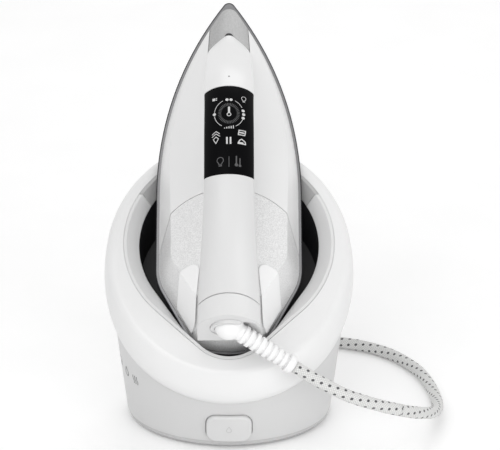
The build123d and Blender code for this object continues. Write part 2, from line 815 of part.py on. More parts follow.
rib_pitch = (RELIEF_LENGTH - END_COLLAR) / RELIEF_RIBS
rib_profile = [(RELIEF_START, 0)]
for rib in range(RELIEF_RIBS):
    rib_start = RELIEF_START + rib_pitch * rib
    rib_stop = rib_start + RIB_SHARE * rib_pitch
    rib_top = RIB_RADIUS - RIB_TAPER * rib / RELIEF_RIBS
    groove = rib_top - RIB_DEPTH
    rib_profile += [(rib_start, rib_top), (rib_stop, rib_top), (rib_stop, groove)]
    rib_profile += [(rib_start + rib_pitch, groove)]
rib_profile += [(relief_end - END_COLLAR, RIB_RADIUS), (relief_end - END_ROUND, RIB_RADIUS)]
rib_profile += [(relief_end, RIB_RADIUS - END_ROUND), (relief_end, 0)]
with BuildPart() as strain_relief:
    with BuildSketch(relief_side):
        with BuildLine():
            Polyline(rib_profile, close=True)
        make_face()
    revolve(axis=Axis(ball, relief_axis))
save(strain_relief.part, "strain_relief")


# Base: tray, tapered shell and sloped collar
def oval(plane, a, b, angle=0.0):
    """An ellipse whose plan depth holds on a tilted plane."""
    with BuildSketch(plane) as ring:
        Ellipse(a, b / cos(radians(angle)))
    return ring.sketch


def base_form(grow):
    """The base's tapered form, grown or shrunk all round."""
    top = base_plane(BASE_TOP_HEIGHT, BASE_TOP_TILT)
    with BuildPart() as form:
        add(oval(base_plane(shell_base), BASE_BOTTOM_A + grow, BASE_BOTTOM_B + grow))
        add(oval(top, BASE_TOP_A + grow, BASE_TOP_B + grow, BASE_TOP_TILT))
        loft()
    return form.part


def post(plane, radius, length):
    """A round post that stands on a plane."""
    with BuildPart() as bar:
        with BuildSketch(plane):
            Circle(radius)
        extrude(amount=length)
    return bar.part


TRAY_STEP = 0.8
with BuildPart() as base_tray:
    tray_plan = oval(base_plane(FOOT_HEIGHT), BASE_BOTTOM_A - TRAY_STEP, BASE_BOTTOM_B - TRAY_STEP)
    extrude(tray_plan, amount=TRAY_HEIGHT)
    fillet(base_tray.faces().sort_by(Axis.Z)[0].edges(), TRAY_ROUND)
save(base_tray.part, "base_tray")

FOOT_SPAN_X = 92.0
FOOT_SPAN_Y = 76.0
with BuildPart() as rubber_feet:
    with BuildSketch(base_plane(0)):
        with GridLocations(FOOT_SPAN_X, FOOT_SPAN_Y, 2, 2):
            Circle(FOOT_RADIUS)
    extrude(amount=FOOT_HEIGHT)
save(rubber_feet.part, "rubber_feet")

SCREW_RADIUS = 3.0
SCREW_HEAD = 1.2
SCREW_SPAN_X = 46.0
SCREW_SPAN_Y = 92.0
with BuildPart() as tray_screws:
    with BuildSketch(base_plane(FOOT_HEIGHT - SCREW_HEAD)):
        with GridLocations(SCREW_SPAN_X, SCREW_SPAN_Y, 2, 2):
            Circle(SCREW_RADIUS)
    extrude(amount=SCREW_HEAD)
save(tray_screws.part, "tray_screws")

BUTTON_INNER = 58.0
FLANGE = 2.0


def button_prism(grow):
    with BuildPart() as prism:
        with BuildSketch(base_front(0, -BUTTON_INNER, BUTTON_CENTRE)):
            RectangleRounded(BUTTON_WIDTH + 2 * grow, BUTTON_HEIGHT + 2 * grow, BUTTON_ROUND + grow)
        extrude(amount=WIDE)
    return prism.part


FILL_X = 4.0
FILL_HEIGHT = 96.0
FILL_RADIUS = 19.0
FILL_BORE = 12.5
NECK_WALL = 2.5
FILL_FACE = 76.0
FILL_ROOT = 60.0
FILL_RIM = 2.0
NECK_FACE = FILL_FACE - FIT
with BuildPart() as base_shell:
    add(base_form(0.0))
    add(post(base_back(FILL_X, FILL_ROOT, FILL_HEIGHT), FILL_RADIUS + FILL_RIM, FILL_FACE - FILL_ROOT))
    add(base_form(-BASE_WALL), mode=Mode.SUBTRACT)
    add(button_prism(BUTTON_GAP), mode=Mode.SUBTRACT)
    add(post(base_back(FILL_X, 0, FILL_HEIGHT), FILL_BORE + NECK_WALL + FIT, WIDE), mode=Mode.SUBTRACT)
    for gland_x in (GLAND_X, -GLAND_X):
        gland_hole = post(base_back(gland_x, 0, GLAND_HEIGHT), GLAND_RADIUS + PIN_CLEARANCE, WIDE)
        add(gland_hole, mode=Mode.SUBTRACT)
save(base_shell.part, "base_shell")


def teardrop(plane, back, back_at, front, front_at, grow=0.0):
    """A large round back joined by tangents to a small round front."""
    lean = (back - front) / (back_at - front_at)
    spread = sqrt(1 - lean**2)
    big = back + grow
    small = front + grow
    with BuildSketch(plane) as outline:
        with BuildLine():
            right = (big * spread, back_at - big * lean)
            left = (-big * spread, back_at - big * lean)
            near_right = (small * spread, front_at - small * lean)
            near_left = (-small * spread, front_at - small * lean)
            ThreePointArc(right, (0, back_at + big), left)
            Line(left, near_left)
            ThreePointArc(near_left, (0, front_at - small), near_right)
            Line(near_right, right)
        make_face()
    return outline.sketch


def pocket_outline(drop, grow=0.0):
    plane = base_plane(RIM_HEIGHT - drop, RIM_TILT)
    return teardrop(plane, POCKET_BACK, POCKET_BACK_AT, POCKET_FRONT, POCKET_FRONT_AT, grow)


def throat_outline(drop, grow=0.0):
    plane = base_plane(RIM_HEIGHT - drop, RIM_TILT)
    return teardrop(plane, THROAT_BACK, THROAT_BACK_AT, THROAT_FRONT, THROAT_FRONT_AT, grow)


def funnel(grow):
    """The pocket's sloped wall, from the rim down to the throat."""
    with BuildPart() as form:
        add(pocket_outline(0, grow))
        add(throat_outline(LINER_DROP, grow))
        loft(ruled=True)
    return form.part


def shaft(start, length, grow):
    """A straight well under the throat."""
    with BuildPart() as well:
        extrude(throat_outline(start, grow), amount=length, dir=(0, 0, -1))
    return well.part


with BuildPart() as collar:
    add(oval(base_plane(BASE_TOP_HEIGHT, BASE_TOP_TILT), BASE_TOP_A, BASE_TOP_B, BASE_TOP_TILT))
    add(oval(base_plane(COLLAR_HEIGHT, COLLAR_TILT), COLLAR_A, COLLAR_B, COLLAR_TILT))
    add(oval(base_plane(RIM_HEIGHT, RIM_TILT), RIM_A, RIM_B, RIM_TILT))
    loft()
    fillet(collar.faces().sort_by(Axis.Z)[-1].edges(), RIM_ROUND)
    add(funnel(LINER_WALL + FIT), mode=Mode.SUBTRACT)
    add(shaft(LINER_DROP, 2 * WIDE, LINER_WALL + FIT), mode=Mode.SUBTRACT)
save(collar.part, "collar")

with BuildPart() as liner_ring:
    add(funnel(LINER_WALL))
    add(funnel(0.0), mode=Mode.SUBTRACT)


def liner_piece(edge, side):
    """The liner on one side of a line across the base."""
    with BuildPart() as piece:
        add(liner_ring.part)
        split(bisect_by=Plane(origin=(0, BASE_Y + edge, 0), z_dir=(0, 1, 0)), keep=side)
    return piece.part


save(liner_piece(INSERT_AT - SEAM / 2, Keep.BOTTOM), "collar_liner")
save(liner_piece(INSERT_AT + SEAM / 2, Keep.TOP), "rear_insert")

with BuildPart() as cradle_tub:
    add(shaft(LINER_DROP, TUB_DROP, LINER_WALL))
    add(shaft(LINER_DROP, TUB_DROP - TUB_FLOOR, 0.0), mode=Mode.SUBTRACT)
save(cradle_tub.part, "cradle_tub")

# Rest ramp that carries the sole, and its silicone pads
rim_slope = tan(radians(RIM_TILT))
rest_drop = PAD_THICKNESS + FIT


def tub_floor_at(y):
    return RIM_HEIGHT - LINER_DROP - TUB_DROP + TUB_FLOOR + (y - BASE_Y) * rim_slope


def ramp_block(wall, half):
    """A wedge between the tub's floor and the sole, shrunk by a wall."""
    low = iron_point(0, REST_FRONT, -rest_drop - wall)
    high = iron_point(0, REST_BACK, -rest_drop - wall)
    front = low.Y + wall
    back = high.Y - wall
    with BuildPart() as block:
        with BuildSketch(Plane.YZ):
            with BuildLine():
                Polyline(
                    (front, low.Z + wall),
                    (back, high.Z - wall),
                    (back, tub_floor_at(back) - wall),
                    (front, tub_floor_at(front) - wall),
                    close=True,
                )
            make_face()
        extrude(amount=half, both=True)
    return block.part


with BuildPart() as rest_ramp:
    add(ramp_block(0.0, REST_HALF))
    add(ramp_block(REST_WALL, REST_HALF - REST_WALL), mode=Mode.SUBTRACT)
save(rest_ramp.part, "rest_ramp")

PAD_LENGTH = 14.0
PAD_COUNT = 3
PAD_INSET = 4.0
PAD_ROUND = 3.0
pad_step = (REST_BACK - REST_FRONT - PAD_LENGTH - 2 * PAD_INSET) / (PAD_COUNT - 1)
with BuildPart() as rest_pads:
    with BuildSketch(iron_level(-rest_drop, (REST_FRONT + REST_BACK) / 2)):
        with GridLocations(0, pad_step, 1, PAD_COUNT):
            RectangleRounded(2 * (REST_HALF - PAD_INSET), PAD_LENGTH, PAD_ROUND)
    extrude(amount=PAD_THICKNESS)
save(rest_pads.part, "rest_pads")

# Front button with its stem, spring, switch and bracket
STEM_RADIUS = 4.0
STEM_LENGTH = 8.0
BUTTON_EDGE = 1.6
FLANGE_LAP = 3.0
with BuildPart() as front_button:
    add(button_prism(0.0))
    add(base_form(BUTTON_PROUD), mode=Mode.INTERSECT)
    fillet(front_button.faces().sort_by(Axis.Y)[0].edges(), BUTTON_EDGE)
    with BuildSketch(base_front(0, -BUTTON_INNER + FLANGE, BUTTON_CENTRE)):
        Rectangle(BUTTON_WIDTH + 2 * FLANGE_LAP, BUTTON_HEIGHT)
    extrude(amount=FLANGE)
    add(post(base_back(0, -BUTTON_INNER + FLANGE, BUTTON_CENTRE), STEM_RADIUS, STEM_LENGTH))
save(front_button.part, "front_button")

stem_end = -BUTTON_INNER + FLANGE + STEM_LENGTH
switch_face = stem_end + BUTTON_TRAVEL + BUTTON_GAP
BRACKET_WALL = 3.0
BRACKET_LAP = 4.0
BRACKET_ROUND = 3.0
CONTACT_DEPTH = 6.5
CONTACT_WIDTH = 10.0
CONTACT_HEIGHT = 7.0
PLUNGER = 1.5
PLUNGER_RADIUS = 2.0
BRACKET_AT = switch_face + CONTACT_DEPTH
with BuildPart() as button_bracket:
    with BuildSketch(base_back(0, BRACKET_AT, shell_base)):
        with Locations((0, BUTTON_CENTRE - shell_base)):
            RectangleRounded(BUTTON_WIDTH + 2 * BRACKET_LAP, 2 * (BUTTON_CENTRE - shell_base), BRACKET_ROUND)
    extrude(amount=BRACKET_WALL)
save(button_bracket.part, "button_bracket")

with BuildPart() as button_switch:
    with BuildSketch(base_front(0, BRACKET_AT, BUTTON_CENTRE)):
        Rectangle(CONTACT_WIDTH, CONTACT_HEIGHT)
    extrude(amount=CONTACT_DEPTH - PLUNGER)
    add(post(base_front(0, switch_face + PLUNGER, BUTTON_CENTRE), PLUNGER_RADIUS, PLUNGER))
save(button_switch.part, "button_switch")

RETURN_WIRE = 0.6
RETURN_RADIUS = 8.0
RETURN_TURNS = 4
return_room = BRACKET_AT + BUTTON_INNER - FLANGE - FIT
return_seat = base_front(0, BRACKET_AT, BUTTON_CENTRE)
button_spring = coil_spring(return_seat, RETURN_RADIUS, RETURN_WIRE, return_room, RETURN_TURNS)
save(button_spring, "button_spring")

# Water tank behind, with its filler neck and quarter turn cap
TANK_GAP = 1.0
TANK_WALL = 2.0
TANK_LEFT = -22.0
TANK_RIGHT = 28.0
TANK_FRONT = 28.0
TANK_SHELF = 88.0
TANK_CLEAR = 4.0
tank_lid = RIM_HEIGHT - LINER_DROP - TUB_DROP - TANK_CLEAR


def slab(x0, x1, y0, y1, z0, z1):
    """A block between two corners, seen from the base's axis."""
    with BuildPart() as block:
        with BuildSketch(base_plane(z0)):
            with Locations(((x0 + x1) / 2, (y0 + y1) / 2)):
                Rectangle(x1 - x0, y1 - y0)
        extrude(amount=z1 - z0)
    return block.part


def tank_form(wall):
    with BuildPart() as form:
        low = shell_base + wall
        add(slab(TANK_LEFT + wall, TANK_RIGHT - wall, TANK_FRONT + wall, WIDE, low, 2 * WIDE))
        add(slab(-WIDE, WIDE, TANK_FRONT + wall, WIDE, TANK_SHELF + wall, 2 * WIDE))
        add(base_form(-BASE_WALL - TANK_GAP - wall), mode=Mode.INTERSECT)
        with BuildSketch(base_plane(tank_lid - wall / cos(radians(RIM_TILT)), RIM_TILT)):
            Rectangle(4 * WIDE, 4 * WIDE)
        extrude(amount=2 * WIDE, mode=Mode.SUBTRACT)
    return form.part


with BuildPart() as water_tank:
    add(tank_form(0.0))
    add(post(base_back(FILL_X, FILL_ROOT, FILL_HEIGHT), FILL_BORE + NECK_WALL, NECK_FACE - FILL_ROOT))
    add(tank_form(TANK_WALL), mode=Mode.SUBTRACT)
    add(post(base_back(FILL_X, FILL_ROOT - NECK_WALL, FILL_HEIGHT), FILL_BORE, WIDE), mode=Mode.SUBTRACT)
save(water_tank.part, "water_tank")

CAP_THICKNESS = 7.0
CAP_BAR = 9.0
CAP_RIM = 3.0
CAP_FLOOR = 2.5
PLUG_LENGTH = 10.0
with BuildPart() as fill_cap:
    add(post(base_back(FILL_X, FILL_FACE + FIT, FILL_HEIGHT), FILL_RADIUS, CAP_THICKNESS))
    add(post(base_back(FILL_X, FILL_FACE + FIT - PLUG_LENGTH, FILL_HEIGHT), FILL_BORE - FIT, PLUG_LENGTH))
    with BuildSketch(base_back(FILL_X, FILL_FACE + FIT + CAP_THICKNESS, FILL_HEIGHT)):
        Circle(FILL_RADIUS - CAP_RIM)
        Rectangle(2 * FILL_RADIUS, CAP_BAR, mode=Mode.SUBTRACT)
    extrude(amount=CAP_FLOOR - CAP_THICKNESS, mode=Mode.SUBTRACT)
save(fill_cap.part, "fill_cap")

# Boiler on its saddles, with band heater and thermostat
BOILER_RADIUS = 22.0
BOILER_HALF = 45.0
BOILER_ROUND = 8.0
SADDLE = 4.0
SADDLE_AT = 30.5
SADDLE_THICKNESS = 8.0
SADDLE_HALF = 15.0
boiler_height = shell_base + SADDLE + BOILER_RADIUS


def boiler_bar(x0, x1, radius):
    with BuildPart() as bar:
        with BuildSketch(Plane(origin=(x0, BASE_Y, boiler_height), x_dir=(0, 1, 0), z_dir=(1, 0, 0))):
            Circle(radius)
        extrude(amount=x1 - x0)
    return bar.part


with BuildPart() as boiler:
    add(boiler_bar(-BOILER_HALF, BOILER_HALF, BOILER_RADIUS))
    fillet(boiler.edges().filter_by(GeomType.CIRCLE), BOILER_ROUND)
    for saddle_x in (-SADDLE_AT, SADDLE_AT):
        left = saddle_x - SADDLE_THICKNESS / 2
        right = saddle_x + SADDLE_THICKNESS / 2
        add(slab(left, right, -SADDLE_HALF, SADDLE_HALF, shell_base, shell_base + BOILER_RADIUS))
save(boiler.part, "boiler")

BAND_HALF = 7.0
BAND_WALL = 3.0
CUTOUT_RADIUS = 9.0
CUTOUT_HEIGHT = 6.0
with BuildPart() as boiler_heater:
    add(boiler_bar(-BAND_HALF, BAND_HALF, BOILER_RADIUS + BAND_WALL))
    add(boiler_bar(-BAND_HALF, BAND_HALF, BOILER_RADIUS + PIN_CLEARANCE), mode=Mode.SUBTRACT)
save(boiler_heater.part, "boiler_heater")
save(boiler_bar(BOILER_HALF, BOILER_HALF + CUTOUT_HEIGHT, CUTOUT_RADIUS), "boiler_thermostat")

# Pump on rubber mounts, valve, and the pipes between them
PUMP_X = -63.0
PUMP_Y = 12.0
PUMP_RADIUS = 12.5
PUMP_HEIGHT = 52.0
MOUNT_HEIGHT = 5.0
MOUNT_INSET = 2.0
SPOUT_RADIUS = 5.0
SPOUT_HEIGHT = 5.0
pump_foot = shell_base + MOUNT_HEIGHT


def standing(x, y, z):
    return Plane(origin=(x, BASE_Y + y, z))


with BuildPart() as pump:
    add(post(standing(PUMP_X, PUMP_Y, pump_foot), PUMP_RADIUS, PUMP_HEIGHT))
    add(post(standing(PUMP_X, PUMP_Y, pump_foot + PUMP_HEIGHT), SPOUT_RADIUS, SPOUT_HEIGHT))
save(pump.part, "pump")
pump_mount = post(standing(PUMP_X, PUMP_Y, shell_base), PUMP_RADIUS - MOUNT_INSET, MOUNT_HEIGHT)
save(pump_mount, "pump_mount")

VALVE_X = 62.0
VALVE_HEIGHT = 30.0
VALVE_HALF_X = 8.0
VALVE_HALF_Y = 9.0
COIL_HOUSING = 10.0
COIL_HOUSING_RADIUS = 7.0
valve_top = shell_base + VALVE_HEIGHT - COIL_HOUSING
with BuildPart() as solenoid_valve:
    left = VALVE_X - VALVE_HALF_X
    right = VALVE_X + VALVE_HALF_X
    add(slab(left, right, -VALVE_HALF_Y, VALVE_HALF_Y, shell_base, valve_top))
    add(post(standing(VALVE_X, 0, valve_top), COIL_HOUSING_RADIUS, COIL_HOUSING))
save(solenoid_valve.part, "solenoid_valve")

TUBE_RADIUS = 3.0
TUBE_BEND = 7.0
boiler_top = boiler_height + BOILER_RADIUS


def tube(points, radius=TUBE_RADIUS):
    """A round tube along straight runs with rounded corners."""
    with BuildPart() as run:
        with BuildLine() as path:
            FilletPolyline(*points, radius=TUBE_BEND)
        with BuildSketch(Plane(origin=path.line @ 0, z_dir=path.line % 0)):
            Circle(radius)
        sweep()
    return run.part


def place(x, y, z):
    return Vector(x, BASE_Y + y, z)


FEED_Y = 33.0
FEED_HEIGHT = 40.0
feed_run = [
    place(PUMP_X, PUMP_Y + PUMP_RADIUS, FEED_HEIGHT),
    place(PUMP_X, FEED_Y, FEED_HEIGHT),
    place(TANK_LEFT, FEED_Y, FEED_HEIGHT),
]
save(tube(feed_run), "feed_tube")
pump_top = pump_foot + PUMP_HEIGHT + SPOUT_HEIGHT
FEED_X = -20.0
STEAM_X = 22.0
LIFT = 16.0
water_run = [
    place(PUMP_X, PUMP_Y, pump_top),
    place(PUMP_X, PUMP_Y, pump_top + LIFT),
    place(FEED_X, 0, pump_top + LIFT),
    place(FEED_X, 0, boiler_top),
]
save(tube(water_run), "water_tube")
steam_run = [
    place(STEAM_X, 0, boiler_top),
    place(STEAM_X, 0, boiler_top + LIFT),
    place(VALVE_X, 0, boiler_top + LIFT),
    place(VALVE_X, 0, shell_base + VALVE_HEIGHT),
]
save(tube(steam_run), "steam_tube")
GLAND_INNER = 40.0
OUTLET_HEIGHT = shell_base + 10.0
OUTLET_BEND_AT = 22.0
OUTLET_TURN_AT = 28.0
outlet_run = [
    place(VALVE_X, VALVE_HALF_Y, OUTLET_HEIGHT),
    place(VALVE_X, OUTLET_BEND_AT, OUTLET_HEIGHT),
    place(GLAND_X, OUTLET_TURN_AT, GLAND_HEIGHT),
    place(GLAND_X, GLAND_INNER, GLAND_HEIGHT),
]
save(tube(outlet_run), "outlet_tube")

BLOCK_DEPTH = 4.0
POWER_HALF = 40.0
POWER_HEIGHT = 34.0
RELAY_LEFT = 24.0
RELAY_RIGHT = 38.0
RELAY_LOW = 6.0
RELAY_HIGH = 28.0
TERMINAL_LEFT = -38.0
TERMINAL_RIGHT = -28.0
TERMINAL_LOW = 8.0
TERMINAL_HIGH = 22.0
BOARD_AT = BRACKET_AT + BRACKET_WALL + BLOCK_DEPTH
board_back = BOARD_AT + BOARD_THICKNESS
block_face = BOARD_AT - BLOCK_DEPTH
with BuildPart() as power_board:
    add(slab(-POWER_HALF, POWER_HALF, BOARD_AT, board_back, shell_base, shell_base + POWER_HEIGHT))
    relay_low = shell_base + RELAY_LOW
    add(slab(RELAY_LEFT, RELAY_RIGHT, block_face, BOARD_AT, relay_low, shell_base + RELAY_HIGH))
    terminal_low = shell_base + TERMINAL_LOW
    add(slab(TERMINAL_LEFT, TERMINAL_RIGHT, block_face, BOARD_AT, terminal_low, shell_base + TERMINAL_HIGH))
save(power_board.part, "power_board")

# Glands at the back
GLAND_FLANGE = 3.0
GLAND_FLANGE_DEPTH = 4.0
GLAND_ROUND = 2.0
flange_radius = GLAND_RADIUS + GLAND_FLANGE
with BuildPart() as hose_gland:
    add(post(base_back(GLAND_X, GLAND_INNER, GLAND_HEIGHT), GLAND_RADIUS, GLAND_REACH - GLAND_INNER))
    fillet(hose_gland.faces().sort_by(Axis.Y)[-1].edges(), GLAND_ROUND)
    add(post(base_back(GLAND_X, GLAND_INNER, GLAND_HEIGHT), flange_radius, GLAND_FLANGE_DEPTH))
save(hose_gland.part, "hose_gland")

MAINS_BORE = 3.6
MAINS_REACH = 70.0
with BuildPart() as mains_gland:
    add(post(base_back(-GLAND_X, GLAND_INNER, GLAND_HEIGHT), GLAND_RADIUS, MAINS_REACH - GLAND_INNER))
    add(post(base_back(-GLAND_X, GLAND_INNER, GLAND_HEIGHT), flange_radius, GLAND_FLANGE_DEPTH))
    add(post(base_back(-GLAND_X, GLAND_INNER, GLAND_HEIGHT), MAINS_BORE, WIDE), mode=Mode.SUBTRACT)
save(mains_gland.part, "mains_gland")


# Hose: its route, from the relief to the coil behind the base, and back to the gland
HOSE_DIAMETER = 2 * HOSE_RADIUS
FIRST_RUN = 36.0
COIL_X = -19.5
COIL_Y = 174.5
COIL_RADIUS = 57.0
COIL_PITCH = 10.1
COIL_LAYER_GAP = 0.6
QUARTERS_IN = 7
QUARTERS_OUT = 8
CLIMB_START = QUARTERS_IN - 1
CLIMB_QUARTERS = 2
TIE_WALL = 1.0
TIE_FIT = 0.4
TIE_WIDTH = 8.0
coil_low = HOSE_RADIUS + TIE_WALL + TIE_FIT
coil_high = coil_low + HOSE_DIAMETER + COIL_LAYER_GAP
coil_front = COIL_Y - COIL_RADIUS
coil_outer = COIL_RADIUS + COIL_PITCH * (QUARTERS_OUT - QUARTERS_IN) / 4
quarters = QUARTERS_IN + QUARTERS_OUT

hose_start = ball + relief_axis * (relief_end + FIT)
route = [
    hose_start,
    hose_start + relief_axis * FIRST_RUN,
    place(113.0, -92.0, 49.8),
    place(145.0, -70.0, 32.0),
    place(164.0, -32.0, 14.0),
    place(167.0, 14.0, HOSE_RADIUS),
    place(158.0, 62.0, HOSE_RADIUS),
    place(130.0, 101.0, HOSE_RADIUS),
    place(86.0, 118.5, 5.2),
    place(40.0, coil_front, coil_low),
    place(-5.0, coil_front, coil_low),
]
TAIL_LEVEL_RUN = 18.0
TAIL_LAST_RUN = 26.0
tail_route = [
    place(COIL_X + coil_outer, COIL_Y - HOSE_DIAMETER, coil_high),
    place(COIL_X + coil_outer, COIL_Y - HOSE_DIAMETER - TAIL_LEVEL_RUN, coil_high),
    place(GLAND_X, GLAND_REACH + TAIL_LAST_RUN, GLAND_HEIGHT),
    place(GLAND_X, GLAND_REACH, GLAND_HEIGHT),
]
LEAD_POINTS = 3
joint_point = (route[LEAD_POINTS - 1] + route[LEAD_POINTS]) / 2


BEND_SHARE = 0.45


def bend_radii(points):
    """Each corner's arc, as large as the two runs beside it allow."""
    radii = []
    for before, corner, after in zip(points, points[1:], points[2:]):
        turn = radians((corner - before).get_angle(after - corner))
        room = BEND_SHARE * min((corner - before).length, (after - corner).length)
        radii.append(room / tan(turn / 2))
    return radii


def hose(name, points, radii):
    """A hose tube along straight runs joined by arcs."""
    with BuildPart() as run:
        with BuildLine() as path:
            FilletPolyline(*points, radius=radii)
        with BuildSketch(Plane(origin=path.line @ 0, z_dir=path.line % 0)):
            Circle(HOSE_RADIUS)
        sweep()
    length = path.wire().length
    share = run.part.volume / (pi * HOSE_RADIUS**2 * length)
    print(name, "length", round(length, 1), "radii", [round(r) for r in radii])
    print(name, "volume share", round(share, 4))
    save(run.part, name)


route_radii = bend_radii(route)
hose("hose_lead", route[:LEAD_POINTS] + [joint_point], route_radii[:LEAD_POINTS - 1])
hose("hose_run", [joint_point] + route[LEAD_POINTS:], route_radii[LEAD_POINTS - 1:])
hose("hose_tail", tail_route, bend_radii(tail_route))


def coil_place(quarter):
    """Where the coil is after a number of quarter turns, and which way it runs."""
    inward = min(quarter, QUARTERS_IN)
    outward = max(quarter - QUARTERS_IN, 0)
    climbed = min(max((quarter - CLIMB_START) / CLIMB_QUARTERS, 0), 1)
    radius = COIL_RADIUS + (outward - inward) * COIL_PITCH / 4
    height = coil_low + (coil_high - coil_low) * climbed
    angle = -pi / 2 * (1 + quarter)
    return place(COIL_X + radius * cos(angle), COIL_Y + radius * sin(angle), height)


def coil_heading(quarter):
    """The coil's direction of travel, clockwise seen from above."""
    angle = -pi / 2 * (1 + quarter)
    around = Vector(sin(angle), -cos(angle), 0) * (pi / 2 * COIL_RADIUS)
    if quarter in (0, quarters):
        return around.normalized()
    drift = coil_place(quarter + 0.5) - coil_place(quarter - 0.5)
    outward = Vector(cos(angle), sin(angle), 0)
    step = outward * drift.dot(outward) + Vector(0, 0, drift.Z)
    return (around + step).normalized()


with BuildPart() as hose_coil:
    with BuildLine() as coil_path:
        Line(route[-1], coil_place(0))
        for quarter in range(quarters):
            first = coil_place(quarter)
            last = coil_place(quarter + 1)
            leaving = coil_heading(quarter)
            arriving = coil_heading(quarter + 1)
            span = last - first
            spread = 2 * (1 - leaving.dot(arriving))
            lean = span.dot(leaving + arriving)
            reach = (sqrt(lean**2 + spread * span.dot(span)) - lean) / spread
            middle = (first + leaving * reach + last - arriving * reach) / 2
            crossing = (last - arriving * reach) - (first + leaving * reach)
            TangentArc(first, middle, tangent=leaving)
            TangentArc(middle, last, tangent=crossing)
        Line(coil_place(quarters), tail_route[0])
    with BuildSketch(Plane(origin=coil_path.line @ 0, z_dir=coil_path.line % 0)):
        Circle(HOSE_RADIUS)
    sweep()
save(hose_coil.part, "hose_coil")

coil_length = coil_path.wire().length
SAMPLES = 800
samples = [coil_path.wire() @ (n / SAMPLES) for n in range(SAMPLES + 1)]
apart = int(3 * HOSE_DIAMETER / (coil_length / SAMPLES))
gaps = [(p - q).length for n, p in enumerate(samples) for q in samples[n + apart:]]
coil_share = hose_coil.part.volume / (pi * HOSE_RADIUS**2 * coil_length)
print("hose_coil length", round(coil_length, 1), "volume share", round(coil_share, 4))
print("hose_coil least gap to itself", round(min(gaps) - HOSE_DIAMETER, 2))

# Tie round the coil's turns, on the side away from the tail
outer_turn = COIL_RADIUS - COIL_PITCH / 4
inner_turn = outer_turn - COIL_PITCH
tie_room = HOSE_RADIUS + TIE_FIT
with BuildPart() as coil_tie:
    with BuildSketch(Plane(origin=place(COIL_X, COIL_Y, 0), x_dir=(-1, 0, 0), z_dir=(0, 1, 0))):
        with Locations(((inner_turn + outer_turn) / 2, (coil_low + coil_high) / 2)):
            wide = outer_turn - inner_turn + 2 * tie_room
            high = coil_high - coil_low + 2 * tie_room
            RectangleRounded(wide + 2 * TIE_WALL, high + 2 * TIE_WALL, tie_room + TIE_WALL)
            RectangleRounded(wide, high, tie_room, mode=Mode.SUBTRACT)
    extrude(amount=TIE_WIDTH / 2, both=True)
save(coil_tie.part, "coil_tie")
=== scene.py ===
import json
from math import cos, pi, radians, sin

import bpy
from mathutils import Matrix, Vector
from mathutils.bvhtree import BVHTree


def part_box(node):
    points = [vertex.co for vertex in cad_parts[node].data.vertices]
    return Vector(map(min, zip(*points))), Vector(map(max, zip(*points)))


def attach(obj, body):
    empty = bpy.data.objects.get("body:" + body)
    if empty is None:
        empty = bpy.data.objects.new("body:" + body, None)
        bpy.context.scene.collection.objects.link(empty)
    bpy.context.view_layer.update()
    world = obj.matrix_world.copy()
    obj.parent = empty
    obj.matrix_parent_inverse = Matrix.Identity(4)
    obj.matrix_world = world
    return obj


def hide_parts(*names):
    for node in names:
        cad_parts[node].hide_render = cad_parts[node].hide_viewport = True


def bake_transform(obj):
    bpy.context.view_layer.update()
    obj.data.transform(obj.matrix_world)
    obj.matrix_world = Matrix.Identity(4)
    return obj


# Looks for a steam iron parked in its docking base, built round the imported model.
# Metres, except that printed signs are drawn in millimetres.

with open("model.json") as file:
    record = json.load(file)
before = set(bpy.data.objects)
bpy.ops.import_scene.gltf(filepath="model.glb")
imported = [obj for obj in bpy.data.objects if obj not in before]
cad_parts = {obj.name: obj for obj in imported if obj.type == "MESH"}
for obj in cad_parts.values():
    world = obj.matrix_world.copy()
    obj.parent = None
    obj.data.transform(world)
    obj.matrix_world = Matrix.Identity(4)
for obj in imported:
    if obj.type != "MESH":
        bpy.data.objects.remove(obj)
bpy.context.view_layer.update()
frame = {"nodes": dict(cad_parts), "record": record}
nodes = frame["nodes"]
joints = {joint["name"]: joint for joint in frame["record"]["behaviour"]["joints"]}

# The base's axis, and the parked iron's own directions, all read from the frame
BALL_HEIGHT = 0.062
tray_low, tray_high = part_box("base_tray")
base_y = (tray_low[1] + tray_high[1]) / 2
ball = Vector(joints["hose_swing"]["pos_m"])
across = Vector((1, 0, 0))
along = -Vector(joints["hose_swing"]["axis"]).normalized()
upward = across.cross(along)
heel = ball - upward * BALL_HEIGHT


def from_base(x, y, z):
    """A place seen from the base's axis."""
    return Vector((x, base_y + y, z))


def on_iron(x, u, h):
    """A place on the parked iron: across, along the sole, above the sole."""
    return heel + across * x + along * u + upward * h


# Materials
EDGE_SAMPLES = 4


def start_material(name):
    """A new material with its tree, its shader and object space coordinates."""
    made = bpy.data.materials.new(name)
    made.use_nodes = True
    tree = made.node_tree
    shader = tree.nodes["Principled BSDF"]
    place = tree.nodes.new("ShaderNodeTexCoord").outputs["Object"]
    return made, tree, shader, place


def noise(tree, place, scale, detail=3.0):
    node = tree.nodes.new("ShaderNodeTexNoise")
    node.inputs["Scale"].default_value = scale
    node.inputs["Detail"].default_value = detail
    tree.links.new(place, node.inputs["Vector"])
    return node.outputs["Fac"]


def span(tree, value, low, high, source_low=0.0, source_high=1.0):
    """A value between two limits spread between two others."""
    node = tree.nodes.new("ShaderNodeMapRange")
    node.inputs["From Min"].default_value = source_low
    node.inputs["From Max"].default_value = source_high
    node.inputs["To Min"].default_value = low
    node.inputs["To Max"].default_value = high
    tree.links.new(value, node.inputs["Value"])
    return node.outputs["Result"]


def blend_colours(tree, factor, first, second):
    node = tree.nodes.new("ShaderNodeMix")
    node.data_type = "RGBA"
    tree.links.new(factor, node.inputs["Factor"])
    for socket, value in ((node.inputs["A"], first), (node.inputs["B"], second)):
        if isinstance(value, tuple):
            socket.default_value = (*value, 1)
        else:
            tree.links.new(value, socket)
    return node.outputs["Result"]


